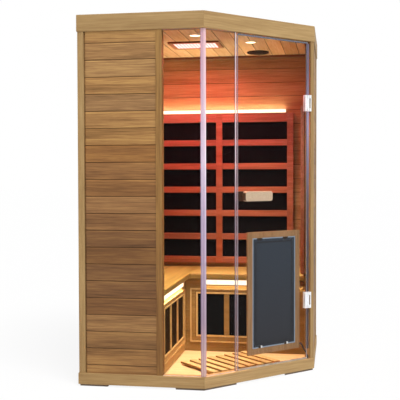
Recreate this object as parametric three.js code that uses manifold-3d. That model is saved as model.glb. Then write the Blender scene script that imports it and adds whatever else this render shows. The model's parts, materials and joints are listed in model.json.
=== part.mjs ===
// A corner infrared sauna cabin for two people, in millimetres. +Z is up, the back wall runs along X,
// the angled glass front faces -Y and +X, and the origin is on the ground under the middle of the cabin.
import * as THREE from "three";
import { mergeVertices } from "three/addons/utils/BufferGeometryUtils.js";
import Module from "manifold-3d";

const wasm = await Module();
wasm.setup();

// Whole cabin
const cabinSide = 1220;
const cabinHeight = 1950;
const angledFrontWidth = 770;
const ceilingDrop = 63;
const fitGap = 0.3;
const edgeEase = 2;

// Base and roof
const footHeight = 10;
const footReach = 150;
const footInset = 8;
const floorThickness = 22;
const baseBoardHeight = 60;
const fasciaHeight = 88;
const trimOverhang = 4;
const ceilingThickness = 18;
const ceilingBoardCover = 85.7;
const firstCeilingBoard = 63.4;
const roofCoverThickness = 8;
const roofCoverDrop = 4;
const controlBoxLength = 320;
const controlBoxWidth = 210;
const controlBoxHeight = 28;

// Walls and posts
const wallThickness = 46;
const sidingSetback = 4;
const boardCover = 88.8;
const firstBoardCover = 43.8;
const grooveWidth = 5;
const grooveDepth = 3;
const shadowGapWidth = 8;
const shadowGapDepth = 9;
const cornerPostFace = 34;
const stileFace = 33;
const frontWindowWidth = 221;
const hingePostFace = 25;
const hingePostReturn = 40;

// Fixed glass, its corner strip and the strike seal
const glassThickness = 8;
const glassInset = 12;
const glassRebate = 8;
const stripLeg = 20;
const stripWall = 2;
const sidelightWidth = 216;
const sealWidth = 18;
const sealOverlap = 5;

// Door and hinges
const doorStrikeGap = 1;
const doorBottomGap = 3;
const doorTopGap = 9;
const hingeAxisToGlass = 9;
const hingeAxisToPost = 10;
const hingeHeight = 91;
const upperHingeDrop = 337;
const lowerHingeRise = 331;
const clampReach = 28;
const clampSetback = 16;
const clampCheek = 5;
const knuckleHeight = 56;
const knuckleRadius = 9;
const lugRadius = 9;
const pinRadius = 3;
const pinClearance = 0.4;
const notchDepth = 10;
const notchClearance = 1;
const hingeLeafWidth = 3;
const hingeLeafThickness = 2.2;

// Door handle
const handleLength = 186;
const handleHeight = 52;
const handleThickness = 27;
const handleStandoff = 18;
const handleCorner = 14;
const handleEdgeMargin = 16;
const handleRise = 900;
const handleBoltInset = 38;
const handleBoltRadius = 4;
const handleBossRadius = 10;
const handleBoltGrip = 14;

// Door heater and its cable
const doorHeaterFreeMargin = 72;
const doorHeaterHingeMargin = 50;
const doorHeaterRise = 65;
const doorHeaterHeight = 666;
const doorHeaterDepth = 10;
const doorHeaterMember = 33;
const doorHeaterPanelRecess = 1.5;
const doorHeaterPanelDepth = 6;
const cableDiameter = 8;
const cableExitRise = 24;
const cableSteps = 22;
const cableBendsFromExit = [[10, 0, 0], [24, 1, -13], [38, 4, -34]];
const cableBendsFromSill = [[-5, 14, 38], [0, 1, 10]];

// Benches
const benchHeight = 482;
const benchThickness = 34;
const benchDepth = 410;
const benchNose = 36;
const benchNoseRadius = 7;
const benchFrontThickness = 10;
const benchFrameStart = 34;
const benchFrameEnd = 66;
const benchFrameSide = 49;
const benchFrameFoot = 46;
const benchFrameHead = 34;
const benchFrameProud = 8;
const benchWindowCount = 3;
const benchWindowBar = 31;
const benchWindowRise = 102;
const benchWindowHeight = 253;

// Heaters and their guards
const heaterThickness = 9.4;
const heaterOverlap = 12;
const heaterPadRecess = 5;
const guardThickness = 20;
const guardBenchGap = 27;
const guardCeilingGap = 375;
const guardTopRail = 55;
const guardBottomRail = 40;
const guardSlat = 39;
const guardSlatCount = 5;
const guardStile = 40;
const guardBayCount = 2;
const guardCornerMargin = 59;
const guardFarMargin = 99;

// Lights and speaker
const lightStripHeight = 20;
const lightStripDepth = 12;
const lightStripMargin = 50;
const lightStripRise = 6;
const benchLightHeight = 27;
const benchLightDrop = 8;
const benchLightStart = 108;
const benchLightMargin = 24;
const downlightDiameter = 72;
const downlightDrop = 6;
const downlightRim = 8;
const downlightDish = 2;
const downlightBehindFront = 312;
const downlightSpread = 197;
const downlightShift = -23;
const speakerDiameter = 136;
const speakerDrop = 9;
const speakerRim = 14;
const speakerDish = 3;
const speakerFromRight = 314;
const speakerFromBack = 158;
const discSides = 40;
const colourLightLength = 300;
const colourLightWidth = 220;
const colourLightDrop = 8;
const colourLightX = -87;
const colourLightY = 45;

// Duckboard
const duckSlatCount = 8;
const duckSlatWidth = 38;
const duckSlatPitch = 62;
const duckSlatThickness = 13;
const duckBattenHeight = 9;
const duckBattenWidth = 36;
const duckBattenMargin = 34;
const duckFromFront = 124;
const duckFromBench = 47;

// Places that follow from the sizes above
const half = cabinSide / 2;
const cornerCut = angledFrontWidth / Math.SQRT2;
const ringDepth = trimOverhang + wallThickness;
const inside = half - ringDepth;
const postOuter = half - trimOverhang;
const sidingOuter = postOuter - sidingSetback;
const floorTop = footHeight + floorThickness;
const wallBottom = footHeight + baseBoardHeight;
const wallTop = cabinHeight - fasciaHeight;
const ceilingBottom = cabinHeight - ceilingDrop;
const ceilingTop = ceilingBottom + ceilingThickness;
const nearCorner = planCorners(0)[1];
const farCorner = planCorners(0)[2];

// Finishes
const cedarOutside = { color: 0xae8757, roughness: 0.55, metalness: 0 };
const cedarTrim = { color: 0xb29062, roughness: 0.55, metalness: 0 };
const cedarInside = { color: 0xc98a4b, roughness: 0.55, metalness: 0 };
const clearGlass = { color: 0xdfe7ea, roughness: 0.05, metalness: 0, transparent: true, opacity: 0.2 };
const clearSeal = { color: 0xd9c8dc, roughness: 0.3, metalness: 0, transparent: true, opacity: 0.7 };
const polishedSteel = { color: 0xe4e6e8, roughness: 0.25, metalness: 1 };
const paleBeech = { color: 0xd9bf9a, roughness: 0.5, metalness: 0 };
const carbonHeater = { color: 0x17120f, roughness: 0.8, metalness: 0 };
const slatePaint = { color: 0x3e424e, roughness: 0.5, metalness: 0.2 };
const blackRubber = { color: 0x1b1c1d, roughness: 0.8, metalness: 0 };
const warmDiffuser = { color: 0xfff2cf, roughness: 0.5, metalness: 0, emissive: 0xffe3a6 };
const redDiffuser = { color: 0xff6a78, roughness: 0.5, metalness: 0, emissive: 0xff3344 };
const speakerGrille = { color: 0x2b1c16, roughness: 0.6, metalness: 0.2 };
const zincCase = { color: 0x9a9da0, roughness: 0.5, metalness: 0.8 };

// The five corners of the plan, moved in from the outer faces: front left, near, far, back right, back left.
function planCorners(inset) {
  const low = -half + inset;
  const high = half - inset;
  const slant = inset * Math.SQRT2;
  return [
    [low, low],
    [low + cabinSide - cornerCut - slant, low],
    [high, high - cabinSide + cornerCut + slant],
    [high, high],
    [low, high],
  ];
}

// A point of the plan given along the angled front from the near corner, and inwards from its outer face.
function angledPoint(along, inset) {
  const x = nearCorner[0] + (along - inset) / Math.SQRT2;
  const y = nearCorner[1] + (along + inset) / Math.SQRT2;
  return [x, y];
}

function rectangle(x0, x1, y0, y1) {
  return [[x0, y0], [x1, y0], [x1, y1], [x0, y1]];
}

function shapeOf(points) {
  return new THREE.Shape(points.map(([x, y]) => new THREE.Vector2(x, y)));
}

// A plan outline raised between two heights, with the edges of both ends eased.
function raised(points, bottom, top, ease = 0) {
  const geometry = new THREE.ExtrudeGeometry(shapeOf(points), {
    depth: top - bottom - 2 * ease,
    bevelEnabled: ease > 0,
    bevelThickness: ease,
    bevelSize: ease,
    bevelOffset: -ease,
    bevelSegments: 1,
  });
  return geometry.translate(0, 0, bottom + ease);
}

function block(x0, x1, y0, y1, z0, z1) {
  const geometry = new THREE.BoxGeometry(x1 - x0, y1 - y0, z1 - z0);
  return geometry.translate((x0 + x1) / 2, (y0 + y1) / 2, (z0 + z1) / 2);
}

// A cross-section of depth (to Y) and height (to Z), drawn out along X from the origin.
function drawnOut(shape, length) {
  const geometry = new THREE.ExtrudeGeometry(shape, { depth: length, bevelEnabled: false, curveSegments: 6 });
  const toDepth = new THREE.Vector3(0, 1, 0);
  const toHeight = new THREE.Vector3(0, 0, 1);
  const toLength = new THREE.Vector3(1, 0, 0);
  return geometry.applyMatrix4(new THREE.Matrix4().makeBasis(toDepth, toHeight, toLength));
}

function upright(radius, x, y, bottom, top, sides = 24) {
  const geometry = new THREE.CylinderGeometry(radius, radius, top - bottom, sides);
  return geometry.rotateX(Math.PI / 2).translate(x, y, (bottom + top) / 2);
}

function solid(geometry) {
  const bare = geometry.clone();
  bare.deleteAttribute("normal");
  bare.deleteAttribute("uv");
  const merged = mergeVertices(bare, 1e-3);
  const vertProperties = merged.attributes.position.array;
  const triVerts = new Uint32Array(merged.index.array);
  return new wasm.Manifold(new wasm.Mesh({ numProp: 3, vertProperties, triVerts }));
}

function geometryOf(body) {
  const mesh = body.getMesh();
  const geometry = new THREE.BufferGeometry();
  geometry.setAttribute("position", new THREE.BufferAttribute(mesh.vertProperties, 3));
  geometry.setIndex(new THREE.BufferAttribute(mesh.triVerts, 1));
  geometry.computeVertexNormals();
  return geometry;
}

function joined(...geometries) {
  const bodies = geometries.map(solid);
  return geometryOf(bodies.reduce((whole, next) => whole.add(next)));
}

function cutBy(geometry, ...tools) {
  const bodies = tools.map(solid);
  return geometryOf(bodies.reduce((whole, next) => whole.subtract(next), solid(geometry)));
}

const cabin = new THREE.Group();
const angledFront = new THREE.Group();
angledFront.position.set(nearCorner[0], nearCorner[1], 0);
angledFront.rotation.z = Math.PI / 4;
cabin.add(angledFront);

function piece(name, geometry, finish, parent = cabin) {
  const mesh = new THREE.Mesh(geometry, new THREE.MeshStandardMaterial(finish));
  mesh.name = name;
  parent.add(mesh);
  return mesh;
}

// Floor panel with a pad under each corner that also carries the base boards
function floorPanel() {
  const outline = planCorners(ringDepth + fitGap);
  let body = solid(raised(outline, footHeight, floorTop));
  const underBoards = solid(raised(planCorners(footInset), 0, footHeight));
  const underPanel = solid(raised(outline, 0, floorTop - edgeEase));
  for (const [x, y] of planCorners(footInset)) {
    const reach = solid(block(x - footReach, x + footReach, y - footReach, y + footReach, 0, floorTop));
    body = body.add(reach.intersect(underBoards)).add(reach.intersect(underPanel));
  }
  return geometryOf(body);
}
piece("floor_panel", floorPanel(), cedarInside);

// Base and fascia boards run round the plan and meet in mitres at its corners
const sideNames = ["front", "angled", "right", "back", "left"];

function ringBoard(index, bottom, top) {
  const next = (index + 1) % sideNames.length;
  const outer = planCorners(0);
  const inner = planCorners(ringDepth);
  const [x0, y0] = outer[index];
  const [x1, y1] = outer[next];
  const length = Math.hypot(x1 - x0, y1 - y0);
  const stepX = ((x1 - x0) / length) * (fitGap / 2);
  const stepY = ((y1 - y0) / length) * (fitGap / 2);
  const outline = [
    [x0 + stepX, y0 + stepY],
    [x1 - stepX, y1 - stepY],
    [inner[next][0] - stepX, inner[next][1] - stepY],
    [inner[index][0] + stepX, inner[index][1] + stepY],
  ];
  return raised(outline, bottom, top, edgeEase);
}
sideNames.forEach((side, index) => {
  piece("base_board_" + side, ringBoard(index, footHeight, wallBottom), cedarTrim);
  piece("fascia_" + side, ringBoard(index, wallTop, cabinHeight), cedarTrim);
});

// A row of V grooves along one face of a board panel, listed from its start to its end
function grooveLine(start, end, firstSeam, cover, face, into) {
  const points = [[start, face]];
  for (let seam = start + firstSeam; seam < end - grooveWidth; seam += cover) {
    points.push([seam - grooveWidth / 2, face], [seam, face + into * grooveDepth], [seam + grooveWidth / 2, face]);
  }
  points.push([end, face]);
  return points;
}

// Ceiling: boards running front to back, seen from below
function ceilingPanel() {
  const lowFace = grooveLine(-inside, inside, firstCeilingBoard, ceilingBoardCover, ceilingBottom, 1);
  const mirrored = lowFace.map(([x, z]) => [-x, z]).reverse();
  const section = shapeOf([...mirrored, [inside, ceilingTop], [-inside, ceilingTop]]);
  const boards = drawnOut(section, cabinSide).rotateZ(-Math.PI / 2).translate(0, half, 0);
  const outline = raised(planCorners(ringDepth + fitGap), ceilingBottom - edgeEase, ceilingTop + edgeEase);
  return geometryOf(solid(boards).intersect(solid(outline)));
}
piece("ceiling_panel", ceilingPanel(), cedarInside);

const roofCoverTop = cabinHeight - roofCoverDrop;
const roofCoverOutline = planCorners(ringDepth + fitGap);
piece("roof_cover", raised(roofCoverOutline, roofCoverTop - roofCoverThickness, roofCoverTop), cedarOutside);

const controlBoxPlan = rectangle(-controlBoxLength / 2, controlBoxLength / 2, -controlBoxWidth / 2, controlBoxWidth / 2);
piece("control_box", raised(controlBoxPlan, ceilingTop, ceilingTop + controlBoxHeight, edgeEase), zincCase);

// Corner posts
const postInner = postOuter - cornerPostFace;
function cornerPost(name, signX, signY) {
  const xs = [signX * postOuter, signX * postInner].sort((a, b) => a - b);
  const ys = [signY * postOuter, signY * inside].sort((a, b) => a - b);
  piece(name, raised(rectangle(...xs, ...ys), wallBottom, wallTop), cedarTrim);
}
cornerPost("post_front_left", -1, -1);
cornerPost("post_back_left", -1, 1);
cornerPost("post_back_right", 1, 1);

// Window stile on the front wall, grooved for the fixed pane
const stileRight = nearCorner[0] - frontWindowWidth;
const stileLeft = stileRight - stileFace;
const glassOuter = half - glassInset;
const glassInner = glassOuter - glassThickness;
function windowStile() {
  const grooveBottom = stileRight - glassRebate;
  const outline = [
    [stileLeft, -postOuter],
    [stileRight, -postOuter],
    [stileRight, -glassOuter - fitGap],
    [grooveBottom, -glassOuter - fitGap],
    [grooveBottom, -glassInner + fitGap],
    [stileRight, -glassInner + fitGap],
    [stileRight, -inside],
    [stileLeft, -inside],
  ];
  return raised(outline, wallBottom, wallTop);
}
piece("front_stile", windowStile(), cedarTrim);

// Hinge post, wrapped round the corner between the angled front and the right wall
const postEdge = angledFrontWidth - hingePostFace;
const hingePostEnd = farCorner[1] + hingePostReturn;
function hingePost() {
  const outline = [
    angledPoint(postEdge, trimOverhang),
    planCorners(trimOverhang)[2],
    [postOuter, hingePostEnd],
    [inside, hingePostEnd],
    planCorners(ringDepth)[2],
    angledPoint(postEdge, ringDepth),
  ];
  return raised(outline, wallBottom, wallTop);
}
piece("hinge_post", hingePost(), cedarTrim);

// Wall panels: boards outside and lining inside, with a shadow gap beside each post
function wallPanel(length, gapAtStart, gapAtEnd) {
  const thickness = sidingOuter - inside;
  const innerFace = grooveLine(wallBottom, wallTop, firstBoardCover, boardCover, 0, 1);
  const outerFace = grooveLine(wallBottom, wallTop, firstBoardCover, boardCover, thickness, -1);
  const section = [...outerFace, ...innerFace.reverse()].map(([z, depth]) => [depth, z]);
  const panel = drawnOut(shapeOf(section), length);
  const tools = [];
  const deep = thickness - shadowGapDepth;
  const past = thickness + edgeEase;
  const low = wallBottom - edgeEase;
  const high = wallTop + edgeEase;
  if (gapAtStart) tools.push(block(-edgeEase, shadowGapWidth, deep, past, low, high));
  if (gapAtEnd) tools.push(block(length - shadowGapWidth, length + edgeEase, deep, past, low, high));
  return cutBy(panel, ...tools);
}

const backWallLength = 2 * (postInner - fitGap);
const backWall = piece("wall_back", wallPanel(backWallLength, true, true), cedarOutside);
backWall.position.set(-backWallLength / 2, inside, 0);

const leftWallLength = 2 * (inside - fitGap);
const leftWall = piece("wall_left", wallPanel(leftWallLength, true, true), cedarOutside);
leftWall.rotation.z = Math.PI / 2;
leftWall.position.set(-inside, -leftWallLength / 2, 0);

const frontWallLength = stileLeft + postInner - 2 * fitGap;
const frontWall = piece("wall_front", wallPanel(frontWallLength, false, true), cedarOutside);
frontWall.rotation.z = Math.PI;
frontWall.position.set(stileLeft - fitGap, -inside, 0);

const rightWallLength = inside - hingePostEnd - 2 * fitGap;
const rightWall = piece("wall_right", wallPanel(rightWallLength, true, true), cedarOutside);
rightWall.rotation.z = -Math.PI / 2;
rightWall.position.set(inside, inside - fitGap, 0);

// Fixed panes, the clear strip that joins them at the near corner, and the strike seal
const paneBottom = wallBottom + fitGap;
const paneTop = wallTop - fitGap;
const stripSlot = stripLeg - glassRebate;
const paneStart = stripSlot + fitGap;

const frontPaneLeft = stileRight - glassRebate + fitGap;
const frontPaneRight = nearCorner[0] - paneStart;
const frontPane = block(frontPaneLeft, frontPaneRight, -glassOuter, -glassInner, paneBottom, paneTop);
piece("front_glass", frontPane, clearGlass);

const paneInner = glassInset + glassThickness;
const sidelight = block(paneStart, sidelightWidth, glassInset, paneInner, paneBottom, paneTop);
piece("sidelight_glass", sidelight, clearGlass, angledFront);

function cornerStrip() {
  const outerInset = glassInset - stripWall;
  const innerInset = paneInner + stripWall;
  const slotOuter = glassInset - fitGap;
  const slotInner = paneInner + fitGap;
  const leg = [
    [stripLeg, outerInset],
    [stripLeg, slotOuter],
    [stripSlot, slotOuter],
    [stripSlot, slotInner],
    [stripLeg, slotInner],
    [stripLeg, innerInset],
  ];
  const angledLeg = leg.map(([along, inset]) => angledPoint(along, inset));
  const frontLeg = leg.map(([along, inset]) => [nearCorner[0] - along, -half + inset]).reverse();
  const outline = [planCorners(outerInset)[1], ...angledLeg, planCorners(innerInset)[1], ...frontLeg];
  return raised(outline, paneBottom, paneTop);
}
piece("glass_corner_strip", cornerStrip(), clearSeal);

const sealStart = sidelightWidth - sealOverlap;
const sealEnd = sealStart + sealWidth;
function strikeSeal() {
  const outerInset = glassInset - stripWall;
  const innerInset = paneInner + stripWall;
  const slotEnd = sidelightWidth + fitGap;
  const outline = [
    [sealStart, outerInset],
    [sealEnd, outerInset],
    [sealEnd, innerInset],
    [sealStart, innerInset],
    [sealStart, paneInner + fitGap],
    [slotEnd, paneInner + fitGap],
    [slotEnd, glassInset - fitGap],
    [sealStart, glassInset - fitGap],
  ];
  return raised(outline, paneBottom, paneTop);
}
piece("strike_seal", strikeSeal(), clearSeal, angledFront);

// Door pane, notched for the hinges and drilled for the handle bolts
const hingeAxisAlong = postEdge - hingeAxisToPost;
const hingeAxisInset = glassInset + glassThickness / 2;
const doorStart = sealEnd + doorStrikeGap;
const doorEnd = hingeAxisAlong - hingeAxisToGlass;
const doorBottom = wallBottom + doorBottomGap;
const doorTop = wallTop - doorTopGap;
const hingeLevels = { upper: doorTop - upperHingeDrop, lower: doorBottom + lowerHingeRise };
const handleStart = doorStart + handleEdgeMargin;
const handleBottom = doorBottom + handleRise;
const handleLevel = handleBottom + handleHeight / 2;
const handleBolts = {
  free: handleStart + handleBoltInset,
  hinge: handleStart + handleLength - handleBoltInset,
};

// A rod across the door, from one inset to another
function acrossDoor(radius, along, level, fromInset, toInset, sides = 20) {
  const geometry = new THREE.CylinderGeometry(radius, radius, toInset - fromInset, sides);
  return geometry.translate(along, (fromInset + toInset) / 2, level);
}

function doorPane() {
  const pane = block(doorStart, doorEnd, glassInset, paneInner, doorBottom, doorTop);
  const through = [glassInset - edgeEase, paneInner + edgeEase];
  const notchHalf = hingeHeight / 2 + notchClearance;
  const notches = Object.values(hingeLevels).map((level) =>
    block(doorEnd - notchDepth, doorEnd + edgeEase, ...through, level - notchHalf, level + notchHalf),
  );
  const holeRadius = handleBoltRadius + fitGap;
  const holes = Object.values(handleBolts).map((along) => acrossDoor(holeRadius, along, handleLevel, ...through));
  return cutBy(pane, ...notches, ...holes);
}
piece("door_glass", doorPane(), clearGlass, angledFront);

// Hinges: a clamp on the door pane turns on the pin of a plate that is screwed to the hinge post
function hingeClamp(level) {
  const axis = hingeAxisAlong;
  const mid = hingeAxisInset;
  const low = level - hingeHeight / 2;
  const high = level + hingeHeight / 2;
  const slotHalf = glassThickness / 2 + fitGap;
  const bodyHalf = slotHalf + clampCheek;
  const knuckleLow = level - knuckleHeight / 2;
  const knuckleHigh = level + knuckleHeight / 2;
  const cheeks = block(axis - clampReach, axis - clampSetback, mid - bodyHalf, mid + bodyHalf, low, high);
  const slotEnd = axis - clampSetback + edgeEase;
  const slotStart = axis - clampReach - edgeEase;
  const slot = block(slotStart, slotEnd, mid - slotHalf, mid + slotHalf, low - edgeEase, high + edgeEase);
  const webStart = doorEnd - notchDepth + notchClearance;
  const webHalf = slotHalf + fitGap;
  const web = block(webStart, axis, mid - webHalf, mid + webHalf, knuckleLow, knuckleHigh);
  const knuckle = upright(knuckleRadius, axis, mid, knuckleLow, knuckleHigh);
  const bore = upright(pinRadius + pinClearance, axis, mid, knuckleLow - edgeEase, knuckleHigh + edgeEase);
  return cutBy(joined(cutBy(cheeks, slot), web, knuckle), bore);
}

function hingePlate(level) {
  const axis = hingeAxisAlong;
  const mid = hingeAxisInset;
  const leafBack = trimOverhang - fitGap;
  const leafFront = leafBack - hingeLeafThickness;
  const lugSide = postEdge - fitGap;
  const low = level - hingeHeight / 2;
  const high = level + hingeHeight / 2;
  const lugSpans = [
    [low, level - knuckleHeight / 2 - fitGap],
    [level + knuckleHeight / 2 + fitGap, high],
  ];
  const lugs = lugSpans.flatMap(([from, to]) => [
    upright(lugRadius, axis, mid, from, to),
    block(axis, lugSide, leafFront, mid + lugRadius, from, to),
  ]);
  const leaf = block(lugSide - hingeLeafThickness, postEdge + hingeLeafWidth, leafFront, leafBack, low, high);
  const pin = upright(pinRadius, axis, mid, low + edgeEase, high - edgeEase);
  return joined(leaf, ...lugs, pin);
}
for (const [place, level] of Object.entries(hingeLevels)) {
  piece("hinge_" + place + "_clamp", hingeClamp(level), polishedSteel, angledFront);
  piece("hinge_" + place + "_plate", hingePlate(level), polishedSteel, angledFront);
}

// Handle bars on both faces of the door, held by two bolts through the glass
function handleOutline() {
  const shape = new THREE.Shape();
  const left = handleStart;
  const right = handleStart + handleLength;
  const low = handleBottom;
  const high = handleBottom + handleHeight;
  const r = handleCorner;
  shape.absarc(right - r, low + r, r, -Math.PI / 2, 0);
  shape.absarc(right - r, high - r, r, 0, Math.PI / 2);
  shape.absarc(left + r, high - r, r, Math.PI / 2, Math.PI);
  shape.absarc(left + r, low + r, r, Math.PI, Math.PI * 1.5);
  return shape;
}

function handleBar(glassFace, outwards) {
  const bar = new THREE.ExtrudeGeometry(handleOutline(), {
    depth: handleThickness - 2 * edgeEase,
    bevelThickness: edgeEase,
    bevelSize: edgeEase,
    bevelOffset: -edgeEase,
    bevelSegments: 2,
    curveSegments: 6,
  });
  const nearFace = glassFace + outwards * handleStandoff;
  const farFace = nearFace + outwards * handleThickness;
  bar.rotateX(Math.PI / 2).translate(0, Math.max(nearFace, farFace) - edgeEase, 0);
  const bossStart = glassFace + outwards * fitGap;
  const bossEnd = nearFace + outwards * edgeEase;
  const bossSpan = [Math.min(bossStart, bossEnd), Math.max(bossStart, bossEnd)];
  const boreEnd = nearFace + outwards * (handleBoltGrip + fitGap);
  const boreSpan = [Math.min(glassFace, boreEnd), Math.max(glassFace, boreEnd)];
  const places = Object.values(handleBolts);
  const bosses = places.map((along) => acrossDoor(handleBossRadius, along, handleLevel, ...bossSpan));
  const bores = places.map((along) => acrossDoor(handleBoltRadius + fitGap, along, handleLevel, ...boreSpan));
  return cutBy(joined(bar, ...bosses), ...bores);
}
piece("handle_outer", handleBar(glassInset, -1), paleBeech, angledFront);
piece("handle_inner", handleBar(paneInner, 1), paleBeech, angledFront);

const boltReach = handleStandoff + handleBoltGrip;
for (const [place, along] of Object.entries(handleBolts)) {
  const bolt = acrossDoor(handleBoltRadius, along, handleLevel, glassInset - boltReach, paneInner + boltReach);
  piece("handle_bolt_" + place, bolt, polishedSteel, angledFront);
}

// Door heater: a wooden frame on the inner face of the pane round a slate-grey panel
const doorHeaterStart = doorStart + doorHeaterFreeMargin;
const doorHeaterEnd = doorEnd - doorHeaterHingeMargin;
const doorHeaterBottom = doorBottom + doorHeaterRise;
const doorHeaterTop = doorHeaterBottom + doorHeaterHeight;
const doorHeaterFace = paneInner + fitGap;

function insetBlock(from, to, face, back, low, high, margin) {
  return block(from + margin, to - margin, face, back, low + margin, high - margin);
}

function doorHeaterFrame() {
  const back = doorHeaterFace + doorHeaterDepth;
  const extents = [doorHeaterBottom, doorHeaterTop];
  const frame = insetBlock(doorHeaterStart, doorHeaterEnd, doorHeaterFace, back, ...extents, 0);
  const past = [doorHeaterFace - edgeEase, back + edgeEase];
  return cutBy(frame, insetBlock(doorHeaterStart, doorHeaterEnd, ...past, ...extents, doorHeaterMember));
}
piece("door_heater_frame", doorHeaterFrame(), cedarInside, angledFront);

const doorPanelFace = doorHeaterFace + doorHeaterPanelRecess;
const doorPanel = insetBlock(
  doorHeaterStart, doorHeaterEnd,
  doorPanelFace, doorPanelFace + doorHeaterPanelDepth,
  doorHeaterBottom, doorHeaterTop,
  doorHeaterMember + fitGap,
);
piece("door_heater_panel", doorPanel, slatePaint, angledFront);

// The heater's cable leaves the frame's edge and runs down into the sill on the hinge axis, where it only twists
function doorHeaterCable() {
  const exit = [doorHeaterEnd + 2 * fitGap, doorHeaterFace + doorHeaterDepth / 2, doorHeaterBottom + cableExitRise];
  const sill = [hingeAxisAlong, hingeAxisInset, wallBottom + 2 * fitGap];
  const fromExit = cableBendsFromExit.map((bend) => bend.map((step, axis) => exit[axis] + step));
  const fromSill = cableBendsFromSill.map((bend) => bend.map((step, axis) => sill[axis] + step));
  const points = [exit, ...fromExit, ...fromSill, sill].map((point) => new THREE.Vector3(...point));
  const section = new THREE.Shape();
  section.absarc(0, 0, cableDiameter / 2, 0, Math.PI * 2);
  return new THREE.ExtrudeGeometry(section, {
    steps: cableSteps,
    curveSegments: 5,
    extrudePath: new THREE.CatmullRomCurve3(points),
  });
}
piece("door_heater_cable", doorHeaterCable(), blackRubber, angledFront);

// Benches: one along the left wall, one along the back wall up to it
const benchTop = floorTop + benchHeight;
const benchUnder = benchTop - benchThickness;
const benchEdge = inside - benchDepth;
const benchFront = benchEdge + benchNose;

function benchBoard(length) {
  const r = benchNoseRadius;
  const section = new THREE.Shape();
  section.moveTo(benchDepth - fitGap, benchTop);
  section.lineTo(r, benchTop);
  section.absarc(r, benchTop - r, r, Math.PI / 2, Math.PI);
  section.absarc(r, benchUnder + r, r, Math.PI, Math.PI * 1.5);
  section.lineTo(benchDepth - fitGap, benchUnder);
  return drawnOut(section, length);
}
const leftBench = piece("bench_top_left", benchBoard(2 * (inside - fitGap)), cedarInside);
leftBench.rotation.z = Math.PI / 2;
leftBench.position.set(-benchEdge, -inside + fitGap, 0);
const backBench = piece("bench_top_back", benchBoard(inside + benchEdge - 2 * fitGap), cedarInside);
backBench.position.set(-benchEdge + fitGap, benchEdge, 0);

// A bench front with a raised frame round a row of windows, measured from the inner corner of the benches
const benchFrontLength = inside + benchFront - fitGap;
const benchWindowRow = benchFrontLength - benchFrameStart - benchFrameEnd - 2 * benchFrameSide;
const benchWindowWidth = (benchWindowRow - (benchWindowCount - 1) * benchWindowBar) / benchWindowCount;
const benchWindowLow = floorTop + benchWindowRise;
const benchWindowHigh = benchWindowLow + benchWindowHeight;

// One block per window of the row, from one depth to another, smaller all round by the margin
function windowBlocks(face, back, margin) {
  const blocks = [];
  for (let index = 0; index < benchWindowCount; index += 1) {
    const from = benchFrameStart + benchFrameSide + index * (benchWindowWidth + benchWindowBar);
    blocks.push(insetBlock(from, from + benchWindowWidth, face, back, benchWindowLow, benchWindowHigh, margin));
  }
  return blocks;
}

function benchFrontPanel(startExtra) {
  const panel = block(-startExtra, benchFrontLength, 0, benchFrontThickness, floorTop, benchUnder);
  const frameEnd = benchFrontLength - benchFrameEnd;
  const frameLow = benchWindowLow - benchFrameFoot;
  const frameHigh = benchWindowHigh + benchFrameHead;
  const frame = block(benchFrameStart, frameEnd, -benchFrameProud, edgeEase, frameLow, frameHigh);
  const windows = windowBlocks(-benchFrameProud - edgeEase, benchFrontThickness + edgeEase, 0);
  return cutBy(joined(panel, frame), ...windows);
}

// The heater is a plate behind the front, with a pad that fills each window to just behind the frame
function benchHeater() {
  const from = benchFrameStart + benchFrameSide - heaterOverlap;
  const to = benchFrontLength - benchFrameEnd - benchFrameSide + heaterOverlap;
  const face = benchFrontThickness + fitGap;
  const low = benchWindowLow - heaterOverlap;
  const plate = block(from, to, face, face + heaterThickness, low, benchWindowHigh + heaterOverlap);
  return joined(plate, ...windowBlocks(heaterPadRecess - benchFrameProud, face + edgeEase, fitGap));
}

const benchLightTop = benchUnder - benchLightDrop;
function benchLight() {
  const bottom = benchLightTop - benchLightHeight;
  const to = benchFrontLength - benchLightMargin;
  return block(benchLightStart, to, -lightStripDepth, -fitGap, bottom, benchLightTop);
}

// The left bench's front runs the other way from the same corner, so it is mirrored in the diagonal of the plan
function mirroredInPlan(geometry) {
  const swap = new THREE.Matrix4().set(0, -1, 0, 0, -1, 0, 0, 0, 0, 0, 1, 0, 0, 0, 0, 1);
  const turned = geometry.clone().applyMatrix4(swap);
  const order = turned.index ? turned.index.array : [...Array(turned.attributes.position.count).keys()];
  const flipped = [];
  for (let corner = 0; corner < order.length; corner += 3) {
    flipped.push(order[corner], order[corner + 2], order[corner + 1]);
  }
  turned.setIndex(flipped);
  return turned;
}

const backCorner = [-benchFront + fitGap, benchFront, 0];
const leftCorner = [-benchFront, benchFront - fitGap, 0];
piece("bench_front_back", benchFrontPanel(0), cedarInside).position.set(...backCorner);
piece("bench_heater_back", benchHeater(), carbonHeater).position.set(...backCorner);
piece("bench_light_back", benchLight(), warmDiffuser).position.set(...backCorner);
const leftFrontPanel = mirroredInPlan(benchFrontPanel(benchFrontThickness));
piece("bench_front_left", leftFrontPanel, cedarInside).position.set(...leftCorner);
piece("bench_heater_left", mirroredInPlan(benchHeater()), carbonHeater).position.set(...leftCorner);
piece("bench_light_left", mirroredInPlan(benchLight()), warmDiffuser).position.set(...leftCorner);

// Wall heaters behind slatted guards, measured from the corner between the left and back walls
const guardBottom = benchTop + guardBenchGap;
const guardTop = ceilingBottom - guardCeilingGap;
const guardFieldHeight = guardTop - guardBottom - guardTopRail - guardBottomRail;
const guardGap = (guardFieldHeight - guardSlatCount * guardSlat) / (guardSlatCount + 1);
const guardRun = 2 * inside - guardCornerMargin - guardFarMargin;
const guardBay = (guardRun - (guardBayCount + 1) * guardStile) / guardBayCount;

function guardLength(bays) {
  return bays * guardBay + (bays + 1) * guardStile;
}

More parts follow.
